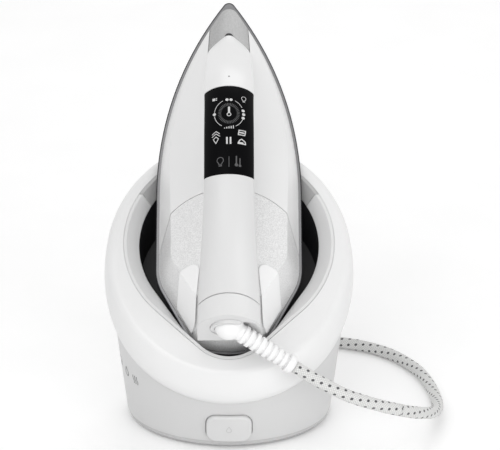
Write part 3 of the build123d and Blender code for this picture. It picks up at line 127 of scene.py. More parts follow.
def math_node(tree, kind, first, second=None):
    node = tree.nodes.new("ShaderNodeMath")
    node.operation = kind
    for socket, value in zip(node.inputs, (first, second)):
        if value is None:
            continue
        if isinstance(value, (int, float)):
            socket.default_value = value
        else:
            tree.links.new(value, socket)
    return node.outputs["Value"]


def half_wave(tree, value):
    """The sine of a count of half turns."""
    return math_node(tree, "SINE", math_node(tree, "MULTIPLY", value, pi))


def off_middle(tree, value):
    """How far a value is from the middle of its step, squared."""
    off = math_node(tree, "SUBTRACT", math_node(tree, "FRACT", value), 0.5)
    return math_node(tree, "POWER", math_node(tree, "ABSOLUTE", off), 2.0)


def grey(level):
    return (level, level, level)


def shade(colour, factor):
    return tuple(min(1.0, part * factor) for part in colour)


def relief(tree, shader, height, strength, distance, edge):
    """Surface grain over edges that catch the light."""
    soft = tree.nodes.new("ShaderNodeBevel")
    soft.samples = EDGE_SAMPLES
    soft.inputs["Radius"].default_value = edge
    bump = tree.nodes.new("ShaderNodeBump")
    bump.inputs["Strength"].default_value = strength
    bump.inputs["Distance"].default_value = distance
    tree.links.new(height, bump.inputs["Height"])
    tree.links.new(soft.outputs["Normal"], bump.inputs["Normal"])
    tree.links.new(bump.outputs["Normal"], shader.inputs["Normal"])


DRIFT = 0.03
DRIFT_SCALE = 14.0
GLOSS_BELOW = 0.04
GLOSS_ABOVE = 0.05
GLOSS_SCALE = 60.0
GRAIN_DETAIL = 2.0
GRAIN_DEPTH = 0.0002
COAT_ROUGHNESS = 0.22


def moulded(name, colour, rough, grain=0.08, scale=1600.0, coat=0.0, metal=0.0, edge=0.0005, shine=0.5):
    """Moulded plastic or plain metal: slight colour drift, uneven gloss and a fine grain."""
    made, tree, shader, place = start_material(name)
    drift = noise(tree, place, DRIFT_SCALE)
    tone = blend_colours(tree, drift, shade(colour, 1 - DRIFT), shade(colour, 1 + DRIFT))
    tree.links.new(tone, shader.inputs["Base Color"])
    gloss = span(tree, noise(tree, place, GLOSS_SCALE), rough - GLOSS_BELOW, rough + GLOSS_ABOVE)
    tree.links.new(gloss, shader.inputs["Roughness"])
    shader.inputs["Metallic"].default_value = metal
    shader.inputs["Specular IOR Level"].default_value = shine
    shader.inputs["Coat Weight"].default_value = coat
    shader.inputs["Coat Roughness"].default_value = COAT_ROUGHNESS
    relief(tree, shader, noise(tree, place, scale, GRAIN_DETAIL), grain, GRAIN_DEPTH, edge)
    return made


FLAKE_SCALE = 2200.0
PEARL_GLOSS = (0.28, 0.5)
PEARL_METAL = 0.12
PEARL_COAT = 0.2
PEARL_COAT_ROUGHNESS = 0.12
PEARL_GRAIN = 0.06
PEARL_EDGE = 0.0006


def pearl(name, dark, light):
    """Pearl paint: flakes of uneven brightness under a clear coat."""
    made, tree, shader, place = start_material(name)
    cells = tree.nodes.new("ShaderNodeTexVoronoi")
    cells.inputs["Scale"].default_value = FLAKE_SCALE
    tree.links.new(place, cells.inputs["Vector"])
    sparkle = tree.nodes.new("ShaderNodeSeparateColor")
    tree.links.new(cells.outputs["Color"], sparkle.inputs["Color"])
    tone = blend_colours(tree, sparkle.outputs["Red"], dark, light)
    tree.links.new(tone, shader.inputs["Base Color"])
    gloss = span(tree, sparkle.outputs["Green"], *PEARL_GLOSS)
    tree.links.new(gloss, shader.inputs["Roughness"])
    shader.inputs["Metallic"].default_value = PEARL_METAL
    shader.inputs["Coat Weight"].default_value = PEARL_COAT
    shader.inputs["Coat Roughness"].default_value = PEARL_COAT_ROUGHNESS
    relief(tree, shader, sparkle.outputs["Blue"], PEARL_GRAIN, GRAIN_DEPTH, PEARL_EDGE)
    return made


BRUSH_STRETCH = (30.0, 2.0, 2.0)
BRUSH_SCALE = 40.0
BRUSH_DETAIL = 4.0
BRUSH_DARK = 0.85
BRUSH_BRIGHT = 1.1
BRUSH_GLOSS_BELOW = 0.08
BRUSH_GLOSS_ABOVE = 0.1
BRUSH_GRAIN = 0.12
BRUSH_DEPTH = 0.0001
BRUSH_EDGE = 0.0003
EDGE_SHADE_RADIUS = 0.0020
EDGE_SHADE_SAMPLES = 16
EDGE_SHADE_FADE = (0.95, 0.998)


def sole_with_painted_edge_shade(name, bright, dark, rough):
    """Brushed metal with painted shade round its rim: faces turned up or down keep the metal, faces turned
    sideways go dark.
    """
    made, tree, shader, place = start_material(name)
    squeeze = tree.nodes.new("ShaderNodeMapping")
    squeeze.inputs["Scale"].default_value = BRUSH_STRETCH
    tree.links.new(place, squeeze.inputs["Vector"])
    lines = noise(tree, squeeze.outputs["Vector"], BRUSH_SCALE, BRUSH_DETAIL)
    metal = blend_colours(tree, lines, shade(bright, BRUSH_DARK), shade(bright, BRUSH_BRIGHT))
    # Painted shade: the sole's sideways faces go dark, standing in for the shadow along its edge
    turned = tree.nodes.new("ShaderNodeBevel")
    turned.samples = EDGE_SHADE_SAMPLES
    turned.inputs["Radius"].default_value = EDGE_SHADE_RADIUS
    facing = tree.nodes.new("ShaderNodeVectorMath")
    facing.operation = "DOT_PRODUCT"
    tree.links.new(turned.outputs["Normal"], facing.inputs[0])
    facing.inputs[1].default_value = upward
    level = math_node(tree, "ABSOLUTE", facing.outputs["Value"])
    clear_of_edge_shade = span(tree, level, 0.0, 1.0, *EDGE_SHADE_FADE)
    tree.links.new(blend_colours(tree, clear_of_edge_shade, dark, metal), shader.inputs["Base Color"])
    gloss = span(tree, lines, rough - BRUSH_GLOSS_BELOW, rough + BRUSH_GLOSS_ABOVE)
    tree.links.new(gloss, shader.inputs["Roughness"])
    shader.inputs["Metallic"].default_value = 1.0
    relief(tree, shader, lines, BRUSH_GRAIN, BRUSH_DEPTH, BRUSH_EDGE)
    return made


BRAID_STEP = 0.0022
BRAID_ROUND = 14
DOT_STEP = 0.0066
DOTS_ROUND = 5
DOT_TWIST = 0.22
DOT_SPREAD = 0.034
THREAD_GROOVE_SHADE = (0.62, 0.62, 0.61)
THREAD_HIGH = (0.86, 0.86, 0.85)
THREAD_DARK = (0.09, 0.09, 0.095)
BRAID_ROUGHNESS = 0.85
BRAID_SHEEN = 0.25
BRAID_GRAIN = 0.6
BRAID_DEPTH = 0.0004
BRAID_EDGE = 0.0001


def braided(name):
    """Woven cover: two crossing sets of strands with painted shade in the grooves between them, and dark
    threads that show as dots.
    """
    made, tree, shader, _ = start_material(name)
    grid = tree.nodes.new("ShaderNodeUVMap").outputs["UV"]
    split = tree.nodes.new("ShaderNodeSeparateXYZ")
    tree.links.new(grid, split.inputs["Vector"])
    length = split.outputs["X"]
    turn = split.outputs["Y"]
    rows = math_node(tree, "MULTIPLY", length, 1 / BRAID_STEP)
    strands = math_node(tree, "MULTIPLY", turn, BRAID_ROUND)
    rising = half_wave(tree, math_node(tree, "ADD", rows, strands))
    falling = half_wave(tree, math_node(tree, "SUBTRACT", rows, strands))
    weave = math_node(tree, "ABSOLUTE", math_node(tree, "MULTIPLY", rising, falling))
    dot_rows = math_node(tree, "MULTIPLY", length, 1 / DOT_STEP)
    dot_turn = math_node(tree, "MULTIPLY", turn, DOTS_ROUND)
    slant = math_node(tree, "ADD", dot_turn, math_node(tree, "MULTIPLY", dot_rows, DOT_TWIST))
    spread = math_node(tree, "ADD", off_middle(tree, slant), off_middle(tree, dot_rows))
    dot = math_node(tree, "LESS_THAN", spread, DOT_SPREAD)
    # Painted shade: each thread goes darker towards the grooves between strands
    thread = blend_colours(tree, weave, THREAD_GROOVE_SHADE, THREAD_HIGH)
    tree.links.new(blend_colours(tree, dot, thread, THREAD_DARK), shader.inputs["Base Color"])
    shader.inputs["Roughness"].default_value = BRAID_ROUGHNESS
    shader.inputs["Sheen Weight"].default_value = BRAID_SHEEN
    relief(tree, shader, weave, BRAID_GRAIN, BRAID_DEPTH, BRAID_EDGE)
    return made


# Finishes, and the nodes that have them
SIGN_EDGE = 0.0001
white_gloss = moulded("white_gloss", grey(0.83), 0.33, grain=0.02, coat=0.1)
# A brighter copy of white_gloss: painted light on the heel lobes, the swivel and the strain relief
white_gloss_painted_light = moulded("white_gloss_painted_light", grey(0.92), 0.33, grain=0.02, coat=0.1)
white_satin = moulded("white_satin", grey(0.70), 0.42, grain=0.06)
skirt_white = moulded("skirt_white", grey(0.83), 0.34, grain=0.04)
heel_white = moulded("heel_white", grey(0.71), 0.38, grain=0.05)
shell_grey = moulded("shell_grey", grey(0.67), 0.42, grain=0.08)
tray_grey = moulded("tray_grey", grey(0.56), 0.5, grain=0.1)
liner_grey = moulded("liner_grey", grey(0.75), 0.5, grain=0.1)
# The rear insert's darker grey than the liner is painted shade on the back of the liner's wall
insert_painted_shade_grey = moulded("insert_painted_shade_grey", grey(0.48), 0.5, grain=0.1)
# The tub and ramp are near black as painted shadow, for the dark cavity round the parked iron
tub_painted_shadow_black = moulded("tub_painted_shadow_black", (0.02, 0.02, 0.022), 0.55, grain=0.14)
panel_black = moulded("panel_black", (0.003, 0.003, 0.0035), 0.34, grain=0.01, shine=0.03)
smoked = moulded("smoked", (0.012, 0.012, 0.014), 0.1, grain=0.01, coat=0.5)
trigger_grey = moulded("trigger_grey", (0.24, 0.245, 0.25), 0.4)
rubber = moulded("rubber", (0.025, 0.025, 0.026), 0.75, grain=0.25, scale=900.0)
silicone = moulded("silicone", (0.12, 0.122, 0.125), 0.7, grain=0.2, scale=900.0)
dark_parts = moulded("dark_parts", (0.04, 0.04, 0.042), 0.5)
board = moulded("board", (0.02, 0.11, 0.05), 0.35, grain=0.05)
tank_blue = moulded("tank_blue", (0.45, 0.55, 0.62), 0.2, coat=0.3)
copper = moulded("copper", (0.62, 0.34, 0.2), 0.3, metal=1.0)
bright_steel = moulded("bright_steel", (0.55, 0.55, 0.56), 0.34, metal=1.0)
cast = moulded("cast", grey(0.5), 0.55, grain=0.4, scale=500.0, metal=1.0)
tie_black = moulded("tie_black", (0.02, 0.02, 0.022), 0.9, grain=0.5, scale=1200.0)
silver = pearl("silver", grey(0.68), grey(0.90))
cap_pearl = pearl("cap_pearl", grey(0.33), grey(0.45))
sole_metal = sole_with_painted_edge_shade("sole_metal", (0.24, 0.24, 0.245), (0.02, 0.02, 0.022), 0.38)
hose_cover = braided("hose_cover")
icon_white = moulded("icon_white", grey(0.62), 0.5, grain=0.02, edge=SIGN_EDGE)
icon_dim = moulded("icon_dim", (0.075, 0.075, 0.078), 0.5, grain=0.02, edge=SIGN_EDGE)
icon_grey = moulded("icon_grey", (0.2, 0.2, 0.205), 0.5, grain=0.02, edge=SIGN_EDGE)
sign_pale = moulded("sign_pale", grey(0.58), 0.4, grain=0.02, edge=SIGN_EDGE)

FINISHES = {
    white_gloss: ("collar",),
    white_gloss_painted_light: ("heel_lobe_left", "heel_lobe_right", "hose_swivel", "strain_relief"),
    white_satin: ("grip_cover", "front_button", "fill_cap"),
    skirt_white: ("skirt", "handle_frame"),
    heel_white: ("heel_cover", "swivel_socket"),
    shell_grey: ("base_shell", "hose_gland"),
    tray_grey: ("base_tray", "mains_gland"),
    liner_grey: ("collar_liner",),
    insert_painted_shade_grey: ("rear_insert",),
    tub_painted_shadow_black: ("cradle_tub", "rest_ramp"),
    cap_pearl: ("nose_cap",),
    panel_black: ("control_panel",),
    smoked: ("nose_lamp",),
    trigger_grey: ("steam_trigger",),
    rubber: ("rubber_feet", "pump_mount"),
    silicone: ("rest_pads", "feed_tube", "water_tube"),
    dark_parts: ("button_bracket", "button_switch", "trigger_switch", "solenoid_valve", "pump"),
    board: ("control_board", "power_board"),
    tank_blue: ("water_tank",),
    copper: ("steam_pipe", "steam_tube", "outlet_tube"),
    bright_steel: (
        "sole_heater", "boiler_heater", "boiler_thermostat", "sole_thermostat",
        "trigger_pin", "trigger_spring", "button_spring", "tray_screws",
    ),
    cast: ("heater_casting", "chamber_cover", "boiler"),
    tie_black: ("coil_tie",),
    silver: ("rear_shell",),
    sole_metal: ("soleplate",),
}
for finish, names in FINISHES.items():
    for name in names:
        for spot in nodes[name].material_slots:
            spot.material = finish


def new_piece(name, points, faces, finish):
    mesh = bpy.data.meshes.new(name)
    mesh.from_pydata([tuple(point) for point in points], [], faces)
    mesh.update()
    mesh.materials.append(finish)
    piece = bpy.data.objects.new(name, mesh)
    bpy.context.collection.objects.link(piece)
    return piece


def shape_of(name):
    """A node's points and faces."""
    mesh = nodes[name].data
    points = [vertex.co for vertex in mesh.vertices]
    faces = [tuple(face.vertices) for face in mesh.polygons]
    return points, faces


# Return springs, each between the piece it stands on and the one it pushes, copied from their nodes as
# smooth steel wires
Y_AXIS = 1
Z_AXIS = 2


def return_spring(name, joint, axis):
    """A spring's own shape as a smooth steel wire in the node's place; its seat and pushed end are worked
    out but not used.
    """
    low, high = (Vector(corner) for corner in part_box(name))
    seat = joints[joint]["deforming_nodes"][0]["fixed_end_" + "xyz"[axis] + "_m"]
    start = (low + high) / 2
    end = start.copy()
    end[axis] = low[axis] if seat > start[axis] else high[axis]
    start[axis] = seat
    points, faces = shape_of(name)
    wire = new_piece(name + "_wire", points, faces, bright_steel)
    for face in wire.data.polygons:
        face.use_smooth = True
    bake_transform(wire)
    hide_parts(name)


return_spring("button_spring", "button_press", Y_AXIS)
return_spring("trigger_spring", "trigger_press", Z_AXIS)

# Hose: the route's points as in the part's source, seen from the base's axis
HOSE_RADIUS = 0.00475
HOSE_SIDES = 24
RUN_RESOLUTION = 16
COIL_RESOLUTION = 6
SPLINE_ORDER = 3
COIL_X = -0.0195
COIL_Y = 0.1745
COIL_RADIUS = 0.057
COIL_PITCH = 0.0101
COIL_LOW = 0.00615
COIL_LAYER_GAP = 0.0006
COIL_HIGH = COIL_LOW + 2 * HOSE_RADIUS + COIL_LAYER_GAP
COIL_EXIT = 0.0275
QUARTERS_IN = 7
QUARTERS_OUT = 8
POINTS_PER_QUARTER = 4
GLAND_X = 0.040
GLAND_Y = 0.086
GLAND_HEIGHT = 0.025
GLAND_RUN = 0.026
coil_front = COIL_Y - COIL_RADIUS
coil_right = COIL_X + COIL_RADIUS + COIL_PITCH * (QUARTERS_OUT - QUARTERS_IN) / 4

RELIEF_AIM = (0.0469, -0.099, 0.0874)
RELIEF_REACH = 0.0583
FIRST_RUN = 0.036
relief_axis = (from_base(*RELIEF_AIM) - ball).normalized()
hose_start = ball + relief_axis * RELIEF_REACH
route = [
    hose_start,
    hose_start + relief_axis * FIRST_RUN,
    from_base(0.113, -0.092, 0.0498),
    from_base(0.145, -0.070, 0.032),
    from_base(0.164, -0.032, 0.014),
    from_base(0.167, 0.014, HOSE_RADIUS),
    from_base(0.158, 0.062, HOSE_RADIUS),
    from_base(0.130, 0.101, HOSE_RADIUS),
    from_base(0.086, 0.1185, 0.0052),
    from_base(0.040, coil_front, COIL_LOW),
    from_base(-0.005, coil_front, COIL_LOW),
]
LEAD_POINTS = 3
lead_end = (route[LEAD_POINTS - 1] + route[LEAD_POINTS]) / 2


def coil_place(quarter):
    """The coil's line: in on the lower layer, out again on the upper one."""
    inward = min(quarter, QUARTERS_IN)
    outward = max(quarter - QUARTERS_IN, 0)
    climbed = min(max((quarter - QUARTERS_IN + 1) / 2, 0), 1)
    radius = COIL_RADIUS + (outward - inward) * COIL_PITCH / 4
    angle = -pi / 2 * (1 + quarter)
    height = COIL_LOW + (COIL_HIGH - COIL_LOW) * climbed
    return from_base(COIL_X + radius * cos(angle), COIL_Y + radius * sin(angle), height)


coil_steps = (QUARTERS_IN + QUARTERS_OUT) * POINTS_PER_QUARTER
coil_route = [route[-1]]
coil_route += [coil_place(step / POINTS_PER_QUARTER) for step in range(coil_steps + 1)]
coil_route += [
    from_base(coil_right, COIL_Y - COIL_EXIT, COIL_HIGH),
    from_base(GLAND_X, GLAND_Y + GLAND_RUN, GLAND_HEIGHT),
    from_base(GLAND_X, GLAND_Y, GLAND_HEIGHT),
]


def smooth_line(name, points, resolution):
    """Points read from a smooth spline whose control points are the route."""
    curve = bpy.data.curves.new(name, "CURVE")
    curve.dimensions = "3D"
    curve.resolution_u = resolution
    spline = curve.splines.new("NURBS")
    spline.points.add(len(points) - 1)
    for control, place in zip(spline.points, points):
        control.co = (*place, 1)
    spline.order_u = SPLINE_ORDER
    spline.use_endpoint_u = True
    holder = bpy.data.objects.new(name, curve)
    bpy.context.collection.objects.link(holder)
    mesh = bpy.data.meshes.new_from_object(holder)
    line = [vertex.co.copy() for vertex in mesh.vertices]
    bpy.data.objects.remove(holder)
    bpy.data.meshes.remove(mesh)
    return line


def run_lengths(line, offset=0.0):
    """The length that has been run at each point of a line."""
    lengths = [offset]
    for before, place in zip(line, line[1:]):
        lengths.append(lengths[-1] + (place - before).length)
    return lengths


def hose_rings(line):
    """Rings of points round a line, each with as little twist as can be from the one before."""
    points = []
    side = (line[1] - line[0]).normalized().cross(Vector((0, 0, 1))).normalized()
    for n, place in enumerate(line):
        ahead = (line[min(n + 1, len(line) - 1)] - line[max(n - 1, 0)]).normalized()
        side = (side - ahead * side.dot(ahead)).normalized()
        other = ahead.cross(side)
        for step in range(HOSE_SIDES):
            angle = 2 * pi * step / HOSE_SIDES
            points.append(place + (side * cos(angle) + other * sin(angle)) * HOSE_RADIUS)
    return points


def hose_faces(lengths):
    """Quads between the rings and a cap at each end, with the length and turn at every corner."""
    faces = []
    grid = []
    for ring in range(len(lengths) - 1):
        low = ring * HOSE_SIDES
        high = low + HOSE_SIDES
        for step in range(HOSE_SIDES):
            after = (step + 1) % HOSE_SIDES
            faces.append((low + step, low + after, high + after, high + step))
            turns = (step / HOSE_SIDES, (step + 1) / HOSE_SIDES)
            corners = ((ring, turns[0]), (ring, turns[1]), (ring + 1, turns[1]), (ring + 1, turns[0]))
            grid += [(lengths[at], turn) for at, turn in corners]
    last = (len(lengths) - 1) * HOSE_SIDES
    faces.append(tuple(reversed(range(HOSE_SIDES))))
    faces.append(tuple(range(last, last + HOSE_SIDES)))
    grid += [(lengths[0], 0.0)] * HOSE_SIDES + [(lengths[-1], 0.0)] * HOSE_SIDES
    return faces, grid


def hose_tube(name, line, offset):
    """A round tube on a line, with its length and its turn as texture coordinates."""
    faces, grid = hose_faces(run_lengths(line, offset))
    piece = new_piece(name, hose_rings(line), faces, hose_cover)
    sheet = piece.data.uv_layers.new(name="UVMap")
    for corner, place in zip(sheet.data, grid):
        corner.uv = place
    for face in piece.data.polygons:
        face.use_smooth = len(face.vertices) == 4
    return piece


lead_line = smooth_line("lead_line", route[:LEAD_POINTS] + [lead_end], RUN_RESOLUTION)
run_line = smooth_line("run_line", [lead_end] + route[LEAD_POINTS:], RUN_RESOLUTION)
coil_line = smooth_line("coil_line", coil_route, COIL_RESOLUTION)
lead_length = run_lengths(lead_line)[-1]
run_length = run_lengths(run_line)[-1]

hose_lead = hose_tube("hose_lead_braid", lead_line, 0.0)
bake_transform(hose_lead)
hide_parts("hose_lead")

# The run bends between the iron and the first stretch that stays on the floor
hose_run = hose_tube("hose_run_braid", run_line, lead_length)
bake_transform(hose_run)
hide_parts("hose_run")

hose_coil = hose_tube("hose_coil_braid", coil_line, lead_length + run_length)
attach(hose_coil, "base")
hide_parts("hose_coil", "hose_tail")

# Printed signs, drawn in millimetres and laid on a node's surface
MILLIMETRE = 0.001
SIGN_LIFT = 0.00012
STROKE_OVERLAP = 0.2
STROKE_PIECE = 0.9
ARC_PIECES = 14


def surface_of(name):
    points, faces = shape_of(name)
    return BVHTree.FromPolygons(points, faces)


def stroke(points, width):
    """A line of even width as short quads."""
    quads = []
    for (x0, y0), (x1, y1) in zip(points, points[1:]):
        run = Vector((x1 - x0, y1 - y0))
        if run.length == 0:
            continue
        lift = Vector((-run.y, run.x)).normalized() * width / 2
        reach = run.normalized() * width * STROKE_OVERLAP
        pieces = max(1, int(run.length / STROKE_PIECE))
        start = Vector((x0, y0)) - reach
        whole = run + reach * 2
        for n in range(pieces):
            near = start + whole * (n / pieces)
            far = start + whole * ((n + 1) / pieces)
            quads.append([near - lift, far - lift, far + lift, near + lift])
    return quads


def outline(points, width):
    return stroke(points + points[:1], width)


def arc(x, y, radius, first, last, count=ARC_PIECES, tall=1.0):
    """Points on an arc or a part of an oval, its angles in degrees."""
    angles = [radians(first + (last - first) * n / count) for n in range(count + 1)]
    return [(x + radius * cos(a), y + radius * tall * sin(a)) for a in angles]


def disc(x, y, radius):
    return [[Vector(point) for point in arc(x, y, radius, 0, 360)[:-1]]]


def placed(points, x, y, size=1.0):
    """Points drawn round the origin, moved to their place at their size."""
    return [(x + size * aside, y + size * ahead) for aside, ahead in points]


def lay_signs(name, shapes, surface, ray, finish, body):
    """Flat signs dropped along a ray onto a surface, a hair proud of it."""
    points = []
    faces = []
    for shape in shapes:
        hits = []
        for spot in shape:
            source, direction = ray(spot[0] * MILLIMETRE, spot[1] * MILLIMETRE)
            place, normal, _, _ = surface.ray_cast(source, direction)
            if place is not None:
                hits.append(place + normal * SIGN_LIFT)
        if len(hits) == len(shape):
            faces.append(tuple(range(len(points), len(points) + len(hits))))
            points += hits
    piece = new_piece(name, points, faces, finish)
    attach(piece, body)


# Signs on the control panel, placed across and along the iron
PANEL_RAY_HEIGHT = 0.16
DIAL_AT = 146.4
DIAL_RADIUS = 10.8
DIAL_TALL = 1.13
DIAL_STROKE = 0.4
DIAL_ARCS = ((-62, -18), (28, 65), (115, 172), (188, 240))
DIAL_DOTS = (-15, 0, 15, 82, 98, 180)
DIAL_DOT = 1.2
STEM_WIDTH = 1.5
RING_WIDTH = 0.6
LEVEL_AT = 133.5
LEVEL_BARS = 5
LEVEL_STEP = 1.6
LEVEL_RISE = 0.45
LEVEL_WIDTH = 0.7
PAUSE_AT = 120.8
PAUSE_BARS = (-1.5, 1.1)
PAUSE_HEIGHT = 5.2
PAUSE_WIDTH = 1.2
BURST_AT = (-9.6, 127.3)
BURST_LINE = 0.55
SPRAY_AT = (-11.2, 159.8)
SPRAY_NOZZLE = 2.3
SPRAY_DOT = 0.5
LAMP_AT = (10.9, 160.0)
LAMP_SIZE = 2.7
LAMP_LINE = 0.14
LAMP_FOOT = 0.22
SHEET_AT = (9.4, 130.5)
SHEET_LINE = 0.7
SHEET_BAR = 1.1
SOLE_AT = (9.4, 121.4)
SOLE_LINE = 0.75
SOLE_BAR = 1.0


def panel_ray(x, u):
    return on_iron(x, u, PANEL_RAY_HEIGHT), -upward


def on_dial(radius, angle):
    return arc(0, DIAL_AT, radius, angle, angle, 1, DIAL_TALL)[0]


def heat_sign(y):
    """The dial's middle: a round-topped stem over a ring."""
    stem = placed([(0, 4.8), (0, 0.6)], 0, y)
    top = placed([(0, 5.1)], 0, y)[0]
    ring = placed(arc(0, -1.0, 1.4, 0, 360), 0, y)
    return stroke(stem, STEM_WIDTH) + disc(*top, STEM_WIDTH / 2) + stroke(ring, RING_WIDTH)


def level_sign(y):
    """A row of rising bars."""
    shapes = []
    for bar in range(LEVEL_BARS):
        x = LEVEL_STEP * (bar - (LEVEL_BARS - 1) / 2)
        shapes += stroke([(x, y), (x, y + LEVEL_RISE * (bar + 1))], LEVEL_WIDTH)
    return shapes


def pause_sign(y):
    """Two upright bars."""
    shapes = []
    for x in PAUSE_BARS:
        shapes += stroke([(x, y), (x, y + PAUSE_HEIGHT)], PAUSE_WIDTH)
    return shapes


def burst_sign(x, y):
    """Two chevrons over a pointed drop."""
    chevron = [(-2.8, 0.0), (0.0, 2.3), (2.8, 0.0)]
    drop = [(-1.9, -2.0), (0.0, -0.3), (1.9, -2.0), (0.0, -5.7)]
    shapes = []
    for rise in (0.0, 2.0):
        shapes += stroke(placed(chevron, x, y + rise), BURST_LINE)
    return shapes + outline(placed(drop, x, y), BURST_LINE)


def spray_sign(x, y):
    """A square nozzle with two dots beside it."""
    nozzle = [(-0.6, 0.0), (0.6, 0.0)]
    dots = [(1.9, -0.7), (1.9, 0.7)]
    shapes = stroke(placed(nozzle, x, y), SPRAY_NOZZLE)
    for dot in placed(dots, x, y):
        shapes += disc(*dot, SPRAY_DOT)
    return shapes


def lamp_sign(x, y, size):
    """A closed glass over a short foot, drawn at unit size."""
    glass = arc(0, 0.3, 0.62, -55, 235)
    neck = [(-0.3, -0.5), (0.3, -0.5)]
    foot = [(-0.28, -0.82), (0.28, -0.82)]
    bulb = outline(placed(glass + neck, x, y, size), LAMP_LINE * size)
    return bulb + stroke(placed(foot, x, y, size), LAMP_FOOT * size)


def sheet_sign(x, y):
    """A slanted sheet with a bar across it."""
    sheet = [(-2.6, -1.9), (2.2, -1.9), (2.8, 1.9), (-2.0, 1.9)]
    bar = [(-1.6, 0.0), (1.6, 0.0)]
    return outline(placed(sheet, x, y), SHEET_LINE) + stroke(placed(bar, x, y), SHEET_BAR)


def sole_sign(x, y):
    """An iron seen from its side, with a bar along its sole."""
    body = [(-2.8, 0.0), (2.8, 0.0), (2.4, 2.0), (0.0, 3.8), (-1.6, 2.8)]
    bar = [(-2.8, 0.8), (1.0, 0.8)]
    return outline(placed(body, x, y), SOLE_LINE) + stroke(placed(bar, x, y), SOLE_BAR)


panel_signs = []
for first, last in DIAL_ARCS:
    panel_signs += stroke(arc(0, DIAL_AT, DIAL_RADIUS, first, last, tall=DIAL_TALL), DIAL_STROKE)
for angle in DIAL_DOTS:
    panel_signs += disc(*on_dial(DIAL_RADIUS, angle), DIAL_DOT)
panel_signs += heat_sign(DIAL_AT)
panel_signs += level_sign(LEVEL_AT)
panel_signs += pause_sign(PAUSE_AT)
panel_signs += burst_sign(*BURST_AT)
panel_signs += spray_sign(*SPRAY_AT)
panel_signs += lamp_sign(*LAMP_AT, LAMP_SIZE)
panel_signs += sheet_sign(*SHEET_AT)
panel_signs += sole_sign(*SOLE_AT)
panel_surface = surface_of("control_panel")
lay_signs("panel_signs", panel_signs, panel_surface, panel_ray, icon_white, "iron")

# Dim signs on the panel: the dial's ticks, and an unlit row near the grip
TICKS = 40
TICK_RADII = (5.9, 7.9)
TICK_WIDTH = 0.5
DIM_LAMP_AT = (-6.4, 106.6)
DIM_LAMP_SIZE = 3.8
DIVIDER = [(0, 102.5), (0, 110.5)]
DIVIDER_WIDTH = 0.45


def thermometer(x, low, high, width, foot, radius):
    """A stem over a round foot."""
    return stroke([(x, high), (x, low)], width) + disc(x, foot, radius)


dim_signs = []
for tick in range(TICKS):
    angle = 360 * tick / TICKS
    dim_signs += stroke([on_dial(radius, angle) for radius in TICK_RADII], TICK_WIDTH)
dim_signs += lamp_sign(*DIM_LAMP_AT, DIM_LAMP_SIZE)
dim_signs += stroke(DIVIDER, DIVIDER_WIDTH)
dim_signs += thermometer(x=5.4, low=105.0, high=111.0, width=1.0, foot=104.2, radius=1.3)
dim_signs += thermometer(x=8.0, low=104.5, high=109.5, width=0.8, foot=103.8, radius=1.0)
lay_signs("panel_signs_dim", dim_signs, panel_surface, panel_ray, icon_dim, "iron")

# A pilot dot on the hump ahead of the panel
PILOT_AT = 182.5
PILOT_RADIUS = 0.7
lay_signs("pilot_dot", disc(0, PILOT_AT, PILOT_RADIUS), surface_of("handle_frame"), panel_ray, icon_grey,
          "iron")

# Small signs on the left of the base, and one on the button, each drawn at unit size
WALL_RAY_START = 0.2
WALL_LINE = 0.12
WALL_SIGN_SIZE = 7.0
WALL_LAMP_SIZE = 4.2
WAVE_STEPS = 8
WAVE_SWING = 0.09
WAVES_AT = (-0.35, 0, 0.35)
BUTTON_HEIGHT = 0.0205
BUTTON_SIGN_SIZE = 5.0


def wall_ray(azimuth, height):
    """A ray maker for signs on the base's wall round one place."""
    angle = radians(azimuth)
    outward = Vector((sin(angle), -cos(angle), 0))
    sideways = Vector((cos(angle), sin(angle), 0))

    def ray(x, z):
        return from_base(0, 0, height + z) + outward * WALL_RAY_START + sideways * x, -outward

    return ray


def steam_sign(size):
    """Three upright waves."""
    shapes = []
    for x in WAVES_AT:
        turns = [n / WAVE_STEPS for n in range(WAVE_STEPS + 1)]
        wave = [(x + WAVE_SWING * sin(2 * pi * turn), turn - 0.5) for turn in turns]
        shapes += stroke(placed(wave, 0, 0, size), WALL_LINE * size)
    return shapes


def drop_sign(size):
    """A round drop with its tip up."""
    drop = [(0, 0.62)] + arc(0, -0.12, 0.38, 40, -220)
    return outline(placed(drop, 0, 0, size), WALL_LINE * size)


def iron_sign(size):
    """An iron seen from its side, under its handle."""
    body = [(-0.6, -0.3), (0.6, -0.3), (0.5, 0.1), (-0.1, 0.2)]
    handle = [(0, 0.45), (0.5, 0.45)]
    width = WALL_LINE * size
    return outline(placed(body, 0, 0, size), width) + stroke(placed(handle, 0, 0, size), width)


shell_surface = surface_of("base_shell")
wall_signs = (
    ("steam", -60.5, 0.0465, steam_sign(WALL_SIGN_SIZE)),
    ("drop", -69.5, 0.0485, drop_sign(WALL_SIGN_SIZE)),
    ("lamp", -78.5, 0.0525, lamp_sign(0, 0, WALL_LAMP_SIZE)),
    ("iron", -88.0, 0.0585, iron_sign(WALL_SIGN_SIZE)),
)
for sign, azimuth, height, shapes in wall_signs:
    lay_signs("base_sign_" + sign, shapes, shell_surface, wall_ray(azimuth, height), icon_grey,
              "base")
lay_signs("button_sign", drop_sign(BUTTON_SIGN_SIZE), surface_of("front_button"), wall_ray(0, BUTTON_HEIGHT),
          sign_pale, "front_button")

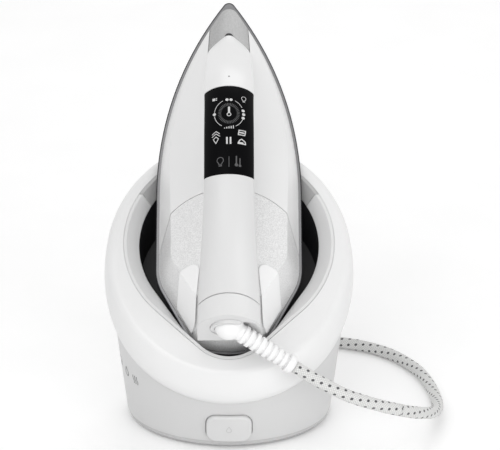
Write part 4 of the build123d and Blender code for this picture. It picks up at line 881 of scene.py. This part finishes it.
# Camera at the photograph's place: lens and shift follow from its solved focal length and centre
PHOTO_WIDTH = 500
FOCAL_PIXELS = 2242.4
MIDDLE_COLUMN = 229.0
SENSOR = 36.0
VIEW_DOWN = 22.30
VIEW_END = 20.0
CAMERA_BACK = 1.6038
CAMERA_HEIGHT = 0.8172
camera_data = bpy.data.cameras.new("camera")
camera_data.sensor_fit = "HORIZONTAL"
camera_data.sensor_width = SENSOR
camera_data.lens = SENSOR * FOCAL_PIXELS / PHOTO_WIDTH
camera_data.shift_x = (PHOTO_WIDTH / 2 - MIDDLE_COLUMN) / PHOTO_WIDTH
camera_data.clip_end = VIEW_END
camera = bpy.data.objects.new("camera", camera_data)
camera.location = from_base(0, -CAMERA_BACK, CAMERA_HEIGHT)
camera.rotation_euler = (radians(90 - VIEW_DOWN), 0, 0)
bpy.context.collection.objects.link(camera)
bpy.context.scene.camera = camera

# Pale floor and soft studio light
FLOOR_REACH = 6.0
FLOOR_GLOW = 0.13
ROOM_LIGHT = 0.66
WHITE = (1, 1, 1, 1)
MIDDLE = (0, 0, 0.15)


def seen_directly(tree):
    """1 for what the camera sees, straight or by a mirror or glass, and 0 for light on the object."""
    path = tree.nodes.new("ShaderNodeLightPath").outputs
    mirrored = math_node(tree, "MAXIMUM", path["Is Glossy Ray"], path["Is Transmission Ray"])
    return math_node(tree, "MAXIMUM", path["Is Camera Ray"], mirrored)


def soft_light(name, place, size, power):
    """A square lamp turned to the middle of the part."""
    data = bpy.data.lights.new(name, "AREA")
    data.shape = "SQUARE"
    data.size = size
    data.energy = power
    lamp = bpy.data.objects.new(name, data)
    lamp.location = place
    lamp.rotation_euler = (Vector(MIDDLE) - Vector(place)).to_track_quat("-Z", "Y").to_euler()
    bpy.context.collection.objects.link(lamp)


floor_pale = moulded("floor_pale", grey(0.95), 0.8, grain=0.02, scale=200.0)
floor_tree = floor_pale.node_tree
floor_shader = floor_tree.nodes["Principled BSDF"]
glow = span(floor_tree, seen_directly(floor_tree), 0.0, FLOOR_GLOW)
floor_tree.links.new(glow, floor_shader.inputs["Emission Strength"])
floor_shader.inputs["Emission Color"].default_value = WHITE
floor_corners = [
    (-FLOOR_REACH, -FLOOR_REACH, 0),
    (FLOOR_REACH, -FLOOR_REACH, 0),
    (FLOOR_REACH, FLOOR_REACH, 0),
    (-FLOOR_REACH, FLOOR_REACH, 0),
]
floor = new_piece("floor", floor_corners, [(0, 1, 2, 3)], floor_pale)

world = bpy.data.worlds.new("studio")
world.use_nodes = True
sky = world.node_tree.nodes["Background"]
sky.inputs["Color"].default_value = WHITE
strength = span(world.node_tree, seen_directly(world.node_tree), ROOM_LIGHT, 1.0)
world.node_tree.links.new(strength, sky.inputs["Strength"])
bpy.context.scene.world = world
bpy.context.scene.view_settings.view_transform = "Standard"

soft_light("key", place=(-0.6, -1.3, 1.5), size=1.2, power=8.5)
soft_light("fill", place=(1.0, -1.5, 0.3), size=1.0, power=9)
soft_light("back", place=(0.2, 1.2, 1.6), size=1.2, power=6)
